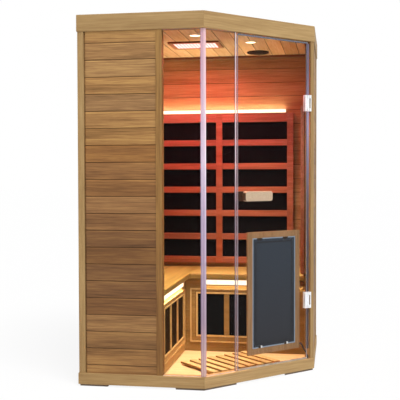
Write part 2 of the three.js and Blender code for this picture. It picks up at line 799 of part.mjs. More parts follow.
function heaterGuard(bays) {
  const front = -heaterThickness - fitGap - guardThickness;
  const plate = block(0, guardLength(bays), front, front + guardThickness, guardBottom, guardTop);
  const gaps = [];
  for (let bay = 0; bay < bays; bay += 1) {
    const from = guardStile + bay * (guardBay + guardStile);
    for (let row = 0; row <= guardSlatCount; row += 1) {
      const low = guardBottom + guardBottomRail + row * (guardGap + guardSlat);
      gaps.push(block(from, from + guardBay, front - edgeEase, edgeEase, low, low + guardGap));
    }
  }
  return cutBy(plate, ...gaps);
}

function wallHeater(bays) {
  const from = guardStile - heaterOverlap;
  const low = guardBottom + guardBottomRail - heaterOverlap;
  const high = guardTop - guardTopRail + heaterOverlap;
  return block(from, guardLength(bays) - from, -heaterThickness, -fitGap, low, high);
}

function wallLight(bays) {
  const low = guardTop + lightStripRise;
  const to = guardLength(bays) - lightStripMargin;
  return block(lightStripMargin, to, -lightStripDepth, -fitGap, low, low + lightStripHeight);
}

const backHeaterCorner = [-inside + guardCornerMargin, inside, 0];
const leftHeaterCorner = [-inside, inside - guardCornerMargin, 0];
piece("heater_guard_back", heaterGuard(guardBayCount), cedarInside).position.set(...backHeaterCorner);
piece("wall_heater_back", wallHeater(guardBayCount), carbonHeater).position.set(...backHeaterCorner);
piece("wall_light_back", wallLight(guardBayCount), warmDiffuser).position.set(...backHeaterCorner);
piece("heater_guard_left", mirroredInPlan(heaterGuard(guardBayCount)), cedarInside).position.set(...leftHeaterCorner);
piece("wall_heater_left", mirroredInPlan(wallHeater(guardBayCount)), carbonHeater).position.set(...leftHeaterCorner);
piece("wall_light_left", mirroredInPlan(wallLight(guardBayCount)), warmDiffuser).position.set(...leftHeaterCorner);

// The right wall has room for one bay
const rightGuard = piece("heater_guard_right", heaterGuard(1), cedarInside);
const rightHeater = piece("wall_heater_right", wallHeater(1), carbonHeater);
for (const mesh of [rightGuard, rightHeater]) {
  mesh.rotation.z = -Math.PI / 2;
  mesh.position.set(inside, inside - guardCornerMargin, 0);
}

// Ceiling fittings
function ceilingDisc(diameter, drop, rim, dish) {
  const r = diameter / 2;
  const profile = [
    new THREE.Vector2(0, -drop + dish),
    new THREE.Vector2(r - rim - dish, -drop + dish),
    new THREE.Vector2(r - rim, -drop),
    new THREE.Vector2(r - edgeEase, -drop),
    new THREE.Vector2(r, -drop + edgeEase),
    new THREE.Vector2(r, -fitGap),
    new THREE.Vector2(0, -fitGap),
  ];
  return new THREE.LatheGeometry(profile, discSides).rotateX(Math.PI / 2);
}
const downlightPlaces = { left: downlightShift - downlightSpread, right: downlightShift + downlightSpread };
for (const [place, aside] of Object.entries(downlightPlaces)) {
  const disc = ceilingDisc(downlightDiameter, downlightDrop, downlightRim, downlightDish);
  const light = piece("downlight_" + place, disc, warmDiffuser);
  const [x, y] = angledPoint(angledFrontWidth / 2 + aside, downlightBehindFront);
  light.position.set(x, y, ceilingBottom);
}
const speakerDisc = ceilingDisc(speakerDiameter, speakerDrop, speakerRim, speakerDish);
const speaker = piece("ceiling_speaker", speakerDisc, speakerGrille);
speaker.position.set(inside - speakerFromRight, inside - speakerFromBack, ceilingBottom);

const colourLightPlan = rectangle(
  colourLightX - colourLightLength / 2, colourLightX + colourLightLength / 2,
  colourLightY - colourLightWidth / 2, colourLightY + colourLightWidth / 2,
);
const colourLightBottom = ceilingBottom - colourLightDrop;
piece("colour_light", raised(colourLightPlan, colourLightBottom, ceilingBottom - fitGap, edgeEase), redDiffuser);

// Duckboard: slats square to the angled front on two cross battens
function duckboard() {
  const slatsWidth = (duckSlatCount - 1) * duckSlatPitch + duckSlatWidth;
  const benchClear = Math.SQRT2 * (benchFront - duckFromBench);
  const frontToCentre = (cabinSide - cornerCut) / Math.SQRT2;
  const innerEnd = frontToCentre - slatsWidth / 2 + benchClear;
  const battenTop = floorTop + duckBattenHeight;
  const middle = angledFrontWidth / 2;
  const parts = [];
  for (let index = 0; index < duckSlatCount; index += 1) {
    const from = middle - slatsWidth / 2 + index * duckSlatPitch;
    const plan = rectangle(from, from + duckSlatWidth, duckFromFront, innerEnd);
    parts.push(raised(plan, battenTop, battenTop + duckSlatThickness, edgeEase));
  }
  for (const inset of [duckFromFront + duckBattenMargin, innerEnd - duckBattenMargin - duckBattenWidth]) {
    const plan = [middle - slatsWidth / 2 + edgeEase, middle + slatsWidth / 2 - edgeEase];
    parts.push(block(...plan, inset, inset + duckBattenWidth, floorTop + fitGap, battenTop + edgeEase));
  }
  return joined(...parts);
}
piece("duckboard", duckboard(), cedarInside, angledFront);

export default cabin;
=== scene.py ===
# %% [markdown]
# The cabin is a corner sauna for two: clad walls, an angled glass front and a glass door. The packed
# model already has every board, pane and hinge at its real size, so this script only adds finishes and
# small trim. It is loaded as a fixed frame: its pieces are dressed, but never moved or reshaped.

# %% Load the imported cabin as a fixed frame
import json
import math
import bmesh
import bpy
from mathutils import Matrix, Vector

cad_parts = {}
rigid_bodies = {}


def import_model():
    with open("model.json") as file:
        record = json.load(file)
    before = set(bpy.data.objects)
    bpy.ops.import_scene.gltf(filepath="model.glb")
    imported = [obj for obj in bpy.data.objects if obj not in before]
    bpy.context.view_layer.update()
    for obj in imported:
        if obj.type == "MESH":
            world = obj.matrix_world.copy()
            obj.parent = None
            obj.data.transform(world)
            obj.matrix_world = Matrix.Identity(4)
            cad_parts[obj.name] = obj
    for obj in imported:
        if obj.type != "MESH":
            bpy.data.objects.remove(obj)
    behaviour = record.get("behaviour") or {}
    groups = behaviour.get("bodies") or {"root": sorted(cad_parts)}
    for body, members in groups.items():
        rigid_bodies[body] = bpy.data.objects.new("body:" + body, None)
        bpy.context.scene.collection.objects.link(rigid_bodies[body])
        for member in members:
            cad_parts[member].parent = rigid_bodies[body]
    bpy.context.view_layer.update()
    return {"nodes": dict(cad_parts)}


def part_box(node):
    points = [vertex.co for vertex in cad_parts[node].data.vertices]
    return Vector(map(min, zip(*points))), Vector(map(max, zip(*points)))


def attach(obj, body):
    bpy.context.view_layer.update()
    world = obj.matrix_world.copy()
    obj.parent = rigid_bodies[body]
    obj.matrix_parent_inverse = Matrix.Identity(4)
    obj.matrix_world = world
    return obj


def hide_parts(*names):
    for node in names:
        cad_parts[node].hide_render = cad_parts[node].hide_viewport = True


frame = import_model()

nodes = frame["nodes"]

# %% [markdown]
# Sizes are metres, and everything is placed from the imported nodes. Two directions matter on the angled
# front: along it, from the near corner to the hinge post, and inwards through it. A matrix with these
# as its axes lets the door's trim be measured and built as if the door ran straight.

# %% Directions and measuring helpers
MM = 0.001
near_corner = Vector((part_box("fascia_front")[1].x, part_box("fascia_front")[0].y, 0))
along_front = Vector((1, 1, 0)).normalized()
inwards = Vector((-1, 1, 0)).normalized()
along_back = Vector((1, 0, 0))
along_left = Vector((0, 1, 0))
up = Vector((0, 0, 1))


def frame_of(origin, along, depth, rise=up):
    """A matrix whose X runs along a piece, Y through its depth and Z up it."""
    return Matrix.Translation(origin) @ Matrix((along, depth, rise)).transposed().to_4x4()


angled_front = frame_of(near_corner, along_front, inwards)
plain_frame = Matrix.Identity(4)


def span(node, basis=plain_frame):
    """Lowest and highest corner of a node, measured in the axes of a basis."""
    inverse = basis.inverted()
    points = [inverse @ vertex.co for vertex in nodes[node].data.vertices]
    low = Vector([min(p[axis] for p in points) for axis in range(3)])
    high = Vector([max(p[axis] for p in points) for axis in range(3)])
    return low, high


door_low, door_high = span("door_glass", angled_front)
print("door pane along", round(door_low.x, 3), "to", round(door_high.x, 3), "inset", round(door_low.y, 3))

# %% [markdown]
# The camera stands a little right of the cabin's middle, at chest height, and looks slightly left and
# down. Its place, turn and lens were fitted once to the straight edges of the cabin, so no shift is
# needed.

# %% Camera
camera_place = Vector((0.724, -4.670, 1.104))
camera_yaw = math.radians(9.51)
camera_pitch = math.radians(1.66)
camera_roll = math.radians(-0.132)
camera_lens = 72.41
sensor_width = 36

camera_data = bpy.data.cameras.new("photo_camera")
camera_data.sensor_width = sensor_width
camera_data.lens = camera_lens
camera = bpy.data.objects.new("photo_camera", camera_data)
turn = Matrix.Rotation(camera_yaw, 4, "Z") @ Matrix.Rotation(math.pi / 2 - camera_pitch, 4, "X")
camera.matrix_world = Matrix.Translation(camera_place) @ turn @ Matrix.Rotation(camera_roll, 4, "Z")
bpy.context.scene.collection.objects.link(camera)
bpy.context.scene.camera = camera
bpy.context.scene.view_settings.view_transform = "Standard"
print("camera at", [round(v, 3) for v in camera_place], "lens", camera_lens)

# %% [markdown]
# Every finish is a node tree. Colours are written as the sRGB values a painter would read off a
# swatch, and one function turns them to the linear values that the shader wants. One more function
# adds a node: an input given as a socket is linked, any other value is set, and a ramp gets its stops.
# It hands back an output of the node, so that a row of nodes reads like a sum. The nodes that come up
# again and again, for sums, ranges and blends, have short functions of their own.

# %% Colour and node helpers
# A Mix node has a pair of inputs for each kind of value
MIX_VALUES = (2, 3)
MIX_COLOURS = (6, 7)


def linear(hex_code):
    """The sRGB curve, from a hex colour to linear values and an alpha of one."""
    channels = [int(hex_code[i:i + 2], 16) / 255 for i in (1, 3, 5)]
    return tuple(c / 12.92 if c <= 0.04045 else ((c + 0.055) / 1.055) ** 2.4 for c in channels) + (1.0,)


def fill(node, inputs):
    """Links every input that is given a socket, and sets the others."""
    for name, value in inputs.items():
        if isinstance(value, bpy.types.NodeSocket):
            node.id_data.links.new(value, node.inputs[name])
        else:
            node.inputs[name].default_value = value


def add(tree, kind, inputs=(), stops=(), output=None, **settings):
    """Adds a node; a tuple fills its inputs in order. Returns the named output, or the first in use."""
    node = tree.nodes.new(kind)
    for name, value in settings.items():
        setattr(node, name, value)
    fill(node, dict(enumerate(inputs)) if isinstance(inputs, tuple) else inputs)
    for index, (place, tone) in enumerate(stops):
        elements = node.color_ramp.elements
        element = elements[index] if index < 2 else elements.new(place)
        element.position = place
        element.color = linear(tone)
    if output:
        return node.outputs[output]
    return next((socket for socket in node.outputs if socket.enabled), None)


def maths(tree, operation, *values):
    """A sum on single values."""
    return add(tree, "ShaderNodeMath", values, operation=operation)


def vector_maths(tree, operation, *values):
    """A sum on places or directions."""
    return add(tree, "ShaderNodeVectorMath", values, operation=operation)


def ranged(tree, value, low, high, start=0.0, end=1.0):
    """Runs from low to high while a value runs from start to end."""
    return add(tree, "ShaderNodeMapRange", {"Value": value, "From Min": start, "From Max": end,
                                            "To Min": low, "To Max": high})


def blended(tree, share, one, other):
    """One value, with a share of another laid over it."""
    first, second = MIX_VALUES
    return add(tree, "ShaderNodeMix", {"Factor": share, first: one, second: other})


def blended_colours(tree, share, one, other, mode="MIX"):
    """One colour, with a share of another laid over it."""
    first, second = MIX_COLOURS
    return add(tree, "ShaderNodeMix", {"Factor": share, first: one, second: other}, data_type="RGBA",
               blend_type=mode)


def new_finish(name):
    """An empty material with a Principled shader, returned with its tree."""
    material = bpy.data.materials.new(name)
    material.use_nodes = True
    return material, material.node_tree, material.node_tree.nodes["Principled BSDF"]


def dress(material, *names):
    """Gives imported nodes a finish."""
    for name in names:
        nodes[name].data.materials.clear()
        nodes[name].data.materials.append(material)


print("node helpers ready")

# %% [markdown]
# Many finishes depend on where a point lies or which way its face looks, so these questions get
# functions of their own. A wood or a seal whose tone differs from foot to head is multiplied by a
# short list of tints, each with its height.

# %% Place and facing
TINT_HEIGHT = 2.0
FOOT_HEIGHT = 10 * MM
FACING_UP = 0.7
lining_limit = (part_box("wall_back")[0].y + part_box("wall_back")[1].y) / 2


def place_of(tree):
    """The place of a point in the axes of the cabin."""
    return add(tree, "ShaderNodeTexCoord", output="Object")


def height_of(tree):
    """The height of a point above the ground."""
    return add(tree, "ShaderNodeSeparateXYZ", (place_of(tree),), output="Z")


def looking_along(tree, way):
    """How squarely a face looks along a direction or against it, from nought to one."""
    facing = add(tree, "ShaderNodeTexCoord", output="Normal")
    aligned = vector_maths(tree, "DOT_PRODUCT", facing, tuple(way))
    return maths(tree, "ABSOLUTE", aligned)


def inside_room(tree):
    """One on the lining side of the walls, nought outside the middle of their thickness."""
    apart = vector_maths(tree, "ABSOLUTE", place_of(tree))
    across = add(tree, "ShaderNodeSeparateXYZ", (apart,)).node.outputs
    reach = maths(tree, "MAXIMUM", across["X"], across["Y"])
    return maths(tree, "LESS_THAN", reach, lining_limit)


def facing_up(tree):
    """One on faces that look up, nought on the sides."""
    facing = add(tree, "ShaderNodeTexCoord", output="Normal")
    rise = add(tree, "ShaderNodeSeparateXYZ", (facing,), output="Z")
    return maths(tree, "GREATER_THAN", rise, FACING_UP)


def above_feet(tree):
    """One above the feet, nought on them."""
    return maths(tree, "GREATER_THAN", height_of(tree), FOOT_HEIGHT)


def tinted_by_height(tree, colour, tints, interpolation="LINEAR"):
    """Multiplies a colour by tints that are listed with their heights in metres."""
    share = maths(tree, "DIVIDE", height_of(tree), TINT_HEIGHT)
    stops = [(height / TINT_HEIGHT, tint) for height, tint in tints]
    ramp = add(tree, "ShaderNodeValToRGB", {"Fac": share}, stops)
    ramp.node.color_ramp.interpolation = interpolation
    return blended_colours(tree, 1.0, colour, ramp, "MULTIPLY")


print("lining starts", round(lining_limit, 3), "m from the middle")

# %% [markdown]
# The cabin is western red cedar, planed and oiled. Cedar shows boards that differ from each other,
# streaks about 10 mm wide that run along the board, a slow figure of growth rings, and fine fibres.
# Real fibres are under a millimetre wide and would not show, so they are drawn 6 mm wide. A photograph
# could be wrapped on, but a procedural grain has no repeats, so each scale is a noise stretched along
# the grain, and every board slides the noise by its own random amount.

# %% Scales of the grain
# Each layer: its size along and across the grain, and the detail and roughness of its noise
STREAK = ((300 * MM, 10 * MM, 10 * MM), 4.0, 0.7)
FIGURE = ((700 * MM, 60 * MM, 60 * MM), 2.0, 0.5)
FIBRE = ((150 * MM, 6 * MM, 6 * MM), 3.0, 0.65)
FIGURE_RINGS = 3.0
RING_SHARE = 0.32
FIBRE_SHARE = 0.5
BOARD_SLIDE = (9, 9, 9)
GRAIN_TURNS = {
    "x": (0, 0, 0),
    "y": (0, 0, -math.pi / 2),
    "z": (0, math.pi / 2, 0),
    "front": (0, 0, -math.pi / 4),
    "through": (0, 0, -3 * math.pi / 4),
}


def noise_of(tree, place, size, detail, roughness=0.5):
    """A noise whose blots have a size of their own along each axis."""
    sized = vector_maths(tree, "MULTIPLY", place, tuple(1 / s for s in size))
    return add(tree, "ShaderNodeTexNoise", {"Vector": sized, "Scale": 1.0, "Detail": detail,
                                            "Roughness": roughness})


def grain_of(tree, place, slide, grain):
    """The blend of streaks, rings and fibres, and the fibres alone; slide differs from board to board."""
    turned = add(tree, "ShaderNodeMapping", {"Vector": place, "Rotation": GRAIN_TURNS[grain]})
    shifted = vector_maths(tree, "ADD", turned, slide)
    streak, figure, fibre = [noise_of(tree, shifted, *layer) for layer in (STREAK, FIGURE, FIBRE)]
    rings = maths(tree, "MULTIPLY", figure, FIGURE_RINGS)
    ring = maths(tree, "PINGPONG", rings, 1.0)
    broad = blended(tree, RING_SHARE, streak, ring)
    return blended(tree, FIBRE_SHARE, broad, fibre), fibre


print("streaks", STREAK[0][1] / MM, "mm and fibres", FIBRE[0][1] / MM, "mm wide")

# %% [markdown]
# Where two boards meet, the seam gathers shadow and goes dark, and the eased upper edge of the board
# below it catches the light. The boards could be separate meshes, but a wall is one packed panel, so
# the finish counts the boards along one axis and measures how far each point is from a seam. Some
# pieces show second tones, on the lining of a wall or on top of a slat, and a function says where.

# %% Boards and seams
SEAM_CORE = 1.2 * MM
SEAM_HALF = 3.6 * MM
SEAM_SHADE = 0.48
EDGE_FADE = 10 * MM
EDGE_GAIN = 1.22


def boards_of(tree, place, axis, pitch, first):
    """The number of the board at each point, and the distances to its nearest and to its upper seam."""
    level = add(tree, "ShaderNodeSeparateXYZ", (place,), output=axis)
    moved = maths(tree, "SUBTRACT", level, first)
    count = maths(tree, "DIVIDE", moved, pitch)
    number = maths(tree, "FLOOR", count)
    nearest = maths(tree, "PINGPONG", count, 0.5)
    distance = maths(tree, "MULTIPLY", nearest, pitch)
    rest = maths(tree, "SUBTRACT", count, number)
    left = maths(tree, "SUBTRACT", 1.0, rest)
    below = maths(tree, "MULTIPLY", left, pitch)
    return number, distance, below


print("seams", 2 * SEAM_HALF / MM, "mm wide")

# %% Cedar
TONE_STOPS = (0.34, 0.5, 0.66)
PALE_SHARE = 0.6
COLOUR_SHARE = 0.5
CEDAR_ROUGHNESS = (0.5, 0.7)
CEDAR_RELIEF = 0.5 * MM


def cedar(name, tones, grain, seed, spread, boards=None, second=None, where=inside_room, attribute=None,
          seam=SEAM_SHADE, heights=None, steps="LINEAR"):
    """Cedar in tones from dark to pale; boards is (axis, pitch, first seam), or an attribute counts them."""
    material, tree, shader = new_finish(name)
    place = place_of(tree)
    board, distance, below = 0.0, 1.0, 1.0
    if attribute:
        board = add(tree, "ShaderNodeAttribute", output="Fac", attribute_name=attribute)
    elif boards:
        board, distance, below = boards_of(tree, place, *boards)
    key = maths(tree, "ADD", board, seed)
    chance = add(tree, "ShaderNodeTexWhiteNoise", {"W": key}, noise_dimensions="1D")
    chances = chance.node.outputs["Color"]
    slide = vector_maths(tree, "MULTIPLY", chances, BOARD_SLIDE)
    blend, fibre = grain_of(tree, place, slide, grain)

    wood = add(tree, "ShaderNodeValToRGB", {"Fac": blend}, zip(TONE_STOPS, tones))
    if heights:
        wood = tinted_by_height(tree, wood, heights, steps)
    shade = ranged(tree, chance, 1 - spread, 1 + spread * PALE_SHARE)
    if second:
        share = where(tree)
        other = add(tree, "ShaderNodeValToRGB", {"Fac": blend}, zip(TONE_STOPS, second))
        wood = blended_colours(tree, share, wood, other)
        shade = blended(tree, share, shade, 1.0)

    lit_edge = ranged(tree, below, EDGE_GAIN if boards else 1.0, 1.0, SEAM_HALF, EDGE_FADE)
    dark_seam = ranged(tree, distance, seam, 1.0, SEAM_CORE, SEAM_HALF)
    edged = maths(tree, "MULTIPLY", dark_seam, lit_edge)
    tone = maths(tree, "MULTIPLY", shade, edged)
    depth = ranged(tree, chances, 1 - spread * COLOUR_SHARE, 1 + spread * COLOUR_SHARE)
    colour = add(tree, "ShaderNodeHueSaturation", {"Color": wood, "Value": tone, "Saturation": depth})
    sheen = ranged(tree, fibre, *CEDAR_ROUGHNESS)
    relief = add(tree, "ShaderNodeBump", {"Strength": 0.15, "Distance": CEDAR_RELIEF, "Height": fibre})
    fill(shader, {"Base Color": colour, "Roughness": sheen, "Normal": relief, "Specular IOR Level": 0.35})
    return material


print("cedar recipe ready")

# %% [markdown]
# Each wall is one panel of boards 89 mm wide, and its first seam lies 44 mm above the base board. A
# stepped tint by height changes the outside's tone from one group of boards to the next; the palest,
# upper boards are painted light from above. The same panel shows its oiled outside and its redder
# lining inside, so the tones change half-way through the wall. Trim boards run along their own length:
# round the base and the roof they follow each side, and posts stand upright. The angled front faces
# the main light, and its trim has paler tones of its own, partly painted light. The stile beside the
# front pane is darker towards its foot.

# %% Cedar on walls and trim
BOARD_COVER = 88.8 * MM
FIRST_BOARD = 43.8 * MM
CLAD_SPREAD = 0.08
TRIM_SPREAD = 0.03
oiled = ("#75522A", "#9B7142", "#BB9055")
lining_tones = ("#8C623D", "#A77A4E", "#BB8F61")
trim_tones = ("#8E6D42", "#A08051", "#B09060")
# The angled front faces the main light: its paler trim tones are partly painted light
lit_front_trim_tones = ("#97754A", "#AA8A5A", "#BB9B69")
stile_tones = ("#7D592D", "#9B743F", "#B48B4E")
stile_heights = [(0.4, "#DBCEC4"), (1.8, "#FFFFFF")]
roof_tones = ("#8A6A45", "#A88860", "#BFA07A")
# Tints by board number up the outside: the palest, upper boards are painted light from above
cladding_light_tints = {3: "#BDB0A9", 8: "#E0D4CD", 13: "#FFFFFF"}

first_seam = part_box("wall_front")[0].z + FIRST_BOARD
wall_boards = ("Z", BOARD_COVER, first_seam)
cladding_height_tints = [(0.0, "#E3DEDE")]
cladding_height_tints += [(first_seam + board * BOARD_COVER, tint) for board, tint in cladding_light_tints.items()]
for way, grain, seed, walls in (("lengthways", "x", 3.0, ("wall_front", "wall_back")),
                                ("crossways", "y", 41.0, ("wall_left", "wall_right"))):
    cladding = cedar("cedar_cladding_" + way, oiled, grain, seed, CLAD_SPREAD, wall_boards, lining_tones,
                     heights=cladding_height_tints, steps="CONSTANT")
    dress(cladding, *walls)

trim_runs = {
    "x": (trim_tones, 5.0, ("base_board_front", "base_board_back", "fascia_front", "fascia_back")),
    "y": (trim_tones, 6.0, ("base_board_left", "base_board_right", "fascia_left", "fascia_right")),
    "z": (trim_tones, 7.0, ("post_front_left", "post_back_left", "post_back_right", "hinge_post")),
    "front": (lit_front_trim_tones, 8.0, ("base_board_angled", "fascia_angled")),
}
for grain, (tones, seed, boards) in trim_runs.items():
    dress(cedar("cedar_trim_" + grain, tones, grain, seed, TRIM_SPREAD), *boards)
dress(cedar("cedar_stile", stile_tones, "z", seed=9.0, spread=TRIM_SPREAD, heights=stile_heights),
      "front_stile")
dress(cedar("poplar_roof_cover", roof_tones, "x", seed=59.0, spread=TRIM_SPREAD), "roof_cover")
print("wall boards", BOARD_COVER / MM, "mm wide in", len(cladding_height_tints), "sections")

# %% [markdown]
# Inside, every piece was planed from a board of its own, and the light falls on it from another side,
# so each gets tones of its own. The ceiling is palest, with the darkest seams. A bench has a warmer,
# paler nose than top, which is painted light on each face. The duckboard's slats have painted light
# on their pale tops and painted shade on their darker sides, and the floor panel is painted dark grey
# at its feet, for the shade under the cabin.

# %% Cedar inside
CEILING_COVER = 85.7 * MM
FIRST_CEILING_BOARD = 63.4 * MM
BENCH_COVER = 102.5 * MM
ceiling_tones = ("#CDAB72", "#E4CA94", "#F1DCAE")
# A bench's nose and top take tones of their own: painted light for the light on each face
lit_nose_tones = ("#967634", "#AE8C40", "#C09E50")
bench_tones = ("#826D36", "#988143", "#AA9353")
# The feet are painted dark grey: painted shade under the cabin
feet_shade_tones = ("#665647", "#736252", "#806E5D")
floor_tones = ("#BFA274", "#CCB186", "#D7BE97")
# Slat sides carry painted shade, and their pale tops painted light from above
duck_side_shade_tones = ("#86612F", "#9C733C", "#B0864C")
duck_lit_top_tones = ("#A98D58", "#BDA16B", "#CDB27D")
front_tones = ("#7C5D2F", "#926F3C", "#A37F4B")
side_tones = ("#AC8850", "#C49C60", "#D4AE72")
heater_tones = ("#8A6440", "#A2794F", "#B08860")

ceiling_boards = ("X", CEILING_COVER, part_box("ceiling_panel")[1].x - FIRST_CEILING_BOARD)
dress(cedar("cedar_ceiling", ceiling_tones, "y", seed=17.0, spread=0.2, boards=ceiling_boards, seam=0.3),
      "ceiling_panel")
bench_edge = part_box("bench_top_back")[0].y
back_boards = ("Y", BENCH_COVER, bench_edge)
left_boards = ("X", BENCH_COVER, -bench_edge)
for bench, grain, seed, boards in (("back", "x", 23.0, back_boards), ("left", "y", 29.0, left_boards)):
    bench_wood = cedar("cedar_bench_" + bench, lit_nose_tones, grain, seed, spread=0.06, boards=boards,
                       second=bench_tones, where=facing_up, seam=0.7)
    dress(bench_wood, "bench_top_" + bench)
dress(cedar("cedar_bench_front", front_tones, "x", seed=31.0, spread=0.04), "bench_front_back")
dress(cedar("cedar_bench_side", side_tones, "y", seed=37.0, spread=0.04), "bench_front_left")
dress(cedar("cedar_floor", feet_shade_tones, "x", seed=43.0, spread=0.04, boards=back_boards, second=floor_tones,
            where=above_feet, seam=0.75), "floor_panel")
dress(cedar("cedar_duckboard", duck_side_shade_tones, "through", seed=47.0, spread=0.05, second=duck_lit_top_tones,
            where=facing_up), "duckboard")
dress(cedar("cedar_door_heater", heater_tones, "z", seed=53.0, spread=TRIM_SPREAD), "door_heater_frame")
print("cedar on", sum(1 for n in nodes if nodes[n].data.materials[0].name.startswith("cedar")), "nodes")

# %% [markdown]
# The panes are 8 mm toughened glass, a little grey, with polished edges. A full glass shader would
# stop the lamps' light at each pane and fill the cabin with noise, and flat glass bends nothing that
# shows, so a pane is a thin dark film that lets most light straight through and mirrors a trace of the
# room. The edges gather light and look pale blue: faces that look along the pane, and not through it,
# are denser.

# %% Glass
FILM_DENSITY = 0.08
EDGE_DENSITY = 0.8
EDGE_FACING = 0.5


def pane_finish(name, through):
    """Clear glass for a pane that faces along the given direction, with denser polished edges."""
    material, tree, shader = new_finish(name)
    flat = looking_along(tree, through)
    edge = maths(tree, "LESS_THAN", flat, EDGE_FACING)
    tint = blended_colours(tree, edge, linear("#0D1011"), linear("#B9C2D2"))
    density = ranged(tree, edge, FILM_DENSITY, EDGE_DENSITY)
    fill(shader, {"Base Color": tint, "Alpha": density, "Roughness": 0.03, "Specular IOR Level": 0.15})
    return material


dress(pane_finish("toughened_glass_front", along_left), "front_glass")
dress(pane_finish("toughened_glass_angled", inwards), "sidelight_glass", "door_glass")
print("glass on 3 panes, film density", FILM_DENSITY)

# %% [markdown]
# The seals are clear extruded vinyl; fine lines run up them where the die drew them. Real lines are a
# fraction of a millimetre wide, so they are drawn 5 mm wide to show. A clear seal also takes on the
# colours of what lies behind it, dark beside the benches and pale higher up. Real refraction would
# bring that, with much noise in so thin a piece, so each seal has a few tints by height instead.

# %% Seals
LINE_SIZE = (5 * MM, 5 * MM, 4.0)
LINE_STOPS = (0.35, 0.6)
LINE_RANGE = (0.35, 0.65)
LINE_CONTRAST = (0.75, 1.25)
corner_heights = [(0.1, "#E4C2B4"), (0.35, "#BCA6B4"), (0.9, "#D6C8DC"), (1.2, "#FFF6FF"), (1.8, "#FFD6D6")]
lip_heights = [(0.1, "#B89478"), (0.35, "#6A5656"), (0.95, "#9C8E9C"), (1.15, "#FFF6FC")]
edge_heights = [(0.5, "#6C5E58"), (0.95, "#7C7076"), (1.4, "#F0EEFA"), (1.7, "#A69CA4")]


def seal_finish(name, tone, pale, density, heights=None):
    """Clear vinyl with lines drawn out up its length, and tints by height where they are listed."""
    material, tree, shader = new_finish(name)
    lines = noise_of(tree, place_of(tree), LINE_SIZE, detail=1.0)
    colour = add(tree, "ShaderNodeValToRGB", {"Fac": lines}, zip(LINE_STOPS, (tone, pale)))
    if heights:
        colour = tinted_by_height(tree, colour, heights)
    thin, thick = [density * share for share in LINE_CONTRAST]
    dense = ranged(tree, lines, thin, thick, *LINE_RANGE)
    fill(shader, {"Base Color": colour, "Alpha": dense, "Roughness": 0.3})
    return material


lip_vinyl = seal_finish("clear_vinyl_lip", "#FFFFFF", "#FFFFFF", density=1.0, heights=lip_heights)
edge_seal = seal_finish("clear_vinyl_edge", "#7E7A90", "#A09CB2", density=0.95, heights=edge_heights)
corner_seal = seal_finish("clear_vinyl_corner", "#C6B6D2", "#FFFFFF", density=0.8, heights=corner_heights)
dress(corner_seal, "glass_corner_strip")
dress(seal_finish("clear_vinyl_strike", "#8E7284", "#C9B2BE", density=0.22), "strike_seal")
print("vinyl on 2 packed seals, lines", LINE_SIZE[0] / MM, "mm wide")

# %% [markdown]
# The smaller finishes: hinges and bolts are satin chrome, painted nearly white, which is a painted
# reflection of the white room; the cable is black rubber, dull and a little grey on its flecks; the
# control box is galvanised steel with its broad pale spangle. The handle outside is sanded beech with
# short flecks and dark end grain where its faces look along the bar: partly the real end grain and
# partly painted shade. The one inside is painted very dark brown, which is painted shade. The door
# heater's back is slate-grey powder coat with a fine orange peel, and a painted reflection darkens it
# towards the foot. All of them are one noise with a size in millimetres, so one recipe serves, and what
# differs by place is laid over it. Real flecks and peel are too fine to show from here, so they are
# drawn a few millimetres wide.

# %% Metals, powder coat, rubber and beech
FLECK_STOPS = (0.35, 0.65)
FLECK_RELIEF = 0.1 * MM
UNEVEN = (0.8, 1.2)
BEECH_FLECK = 2.4 * MM
BEECH_STRETCH = (4, 4, 0.8)
END_FACING = (0.5, 0.85)
SLATE_REFLECTION_FOOT = 0.75


def speckled(name, dark, pale, grit, rough, metal=0.0, bump=0.08, stretch=(1, 1, 1)):
    """A finish with one scale of fleck: grit is its size in metres, drawn out by stretch."""
    material, tree, shader = new_finish(name)
    fleck = noise_of(tree, place_of(tree), [grit * s for s in stretch], detail=3.0)
    colour = add(tree, "ShaderNodeValToRGB", {"Fac": fleck}, zip(FLECK_STOPS, (dark, pale)))
    uneven = ranged(tree, fleck, rough * UNEVEN[0], rough * UNEVEN[1])
    relief = add(tree, "ShaderNodeBump", {"Strength": bump, "Distance": FLECK_RELIEF, "Height": fleck})
    fill(shader, {"Base Color": colour, "Roughness": uneven, "Normal": relief, "Metallic": metal})
    return material


def lay_over(material, share, tone):
    """Lays one more tone over a finish, by a share from nought to one."""
    base = material.node_tree.nodes["Principled BSDF"].inputs["Base Color"]
    mixed = blended_colours(material.node_tree, share, base.links[0].from_socket, linear(tone))
    material.node_tree.links.new(mixed, base)


# Nearly white: the white room's reflection is painted into the chrome's colour
chrome = speckled("satin_chrome", "#E9ECEE", "#FBFCFD", grit=6 * MM, rough=0.4, metal=0.25, bump=0.02)
for place in ("upper", "lower"):
    dress(chrome, "hinge_" + place + "_clamp", "hinge_" + place + "_plate")
dress(chrome, "handle_bolt_free", "handle_bolt_hinge")
rubber = speckled("black_rubber", "#1B1D20", "#33373C", grit=1.5 * MM, rough=0.6)
dress(rubber, "door_heater_cable")
zinc = speckled("galvanised_steel", "#8B8F93", "#B4B8BB", grit=14 * MM, rough=0.45, metal=0.9)
dress(zinc, "control_box")

beech = speckled("sanded_beech", "#B0957A", "#CBB397", grit=BEECH_FLECK, rough=0.5, stretch=BEECH_STRETCH)
# Dark end faces: partly the real end grain, partly painted shade
end_facing = looking_along(beech.node_tree, along_front)
end_grain_and_shade = ranged(beech.node_tree, end_facing, 0.0, 1.0, *END_FACING)
lay_over(beech, end_grain_and_shade, "#4A2E18")
dress(beech, "handle_outer")
# The inner handle's near-black brown is painted shade
shaded_beech = speckled("oiled_beech", "#2A180A", "#3E2612", grit=BEECH_FLECK, rough=0.45,
                      stretch=BEECH_STRETCH)
dress(shaded_beech, "handle_inner")

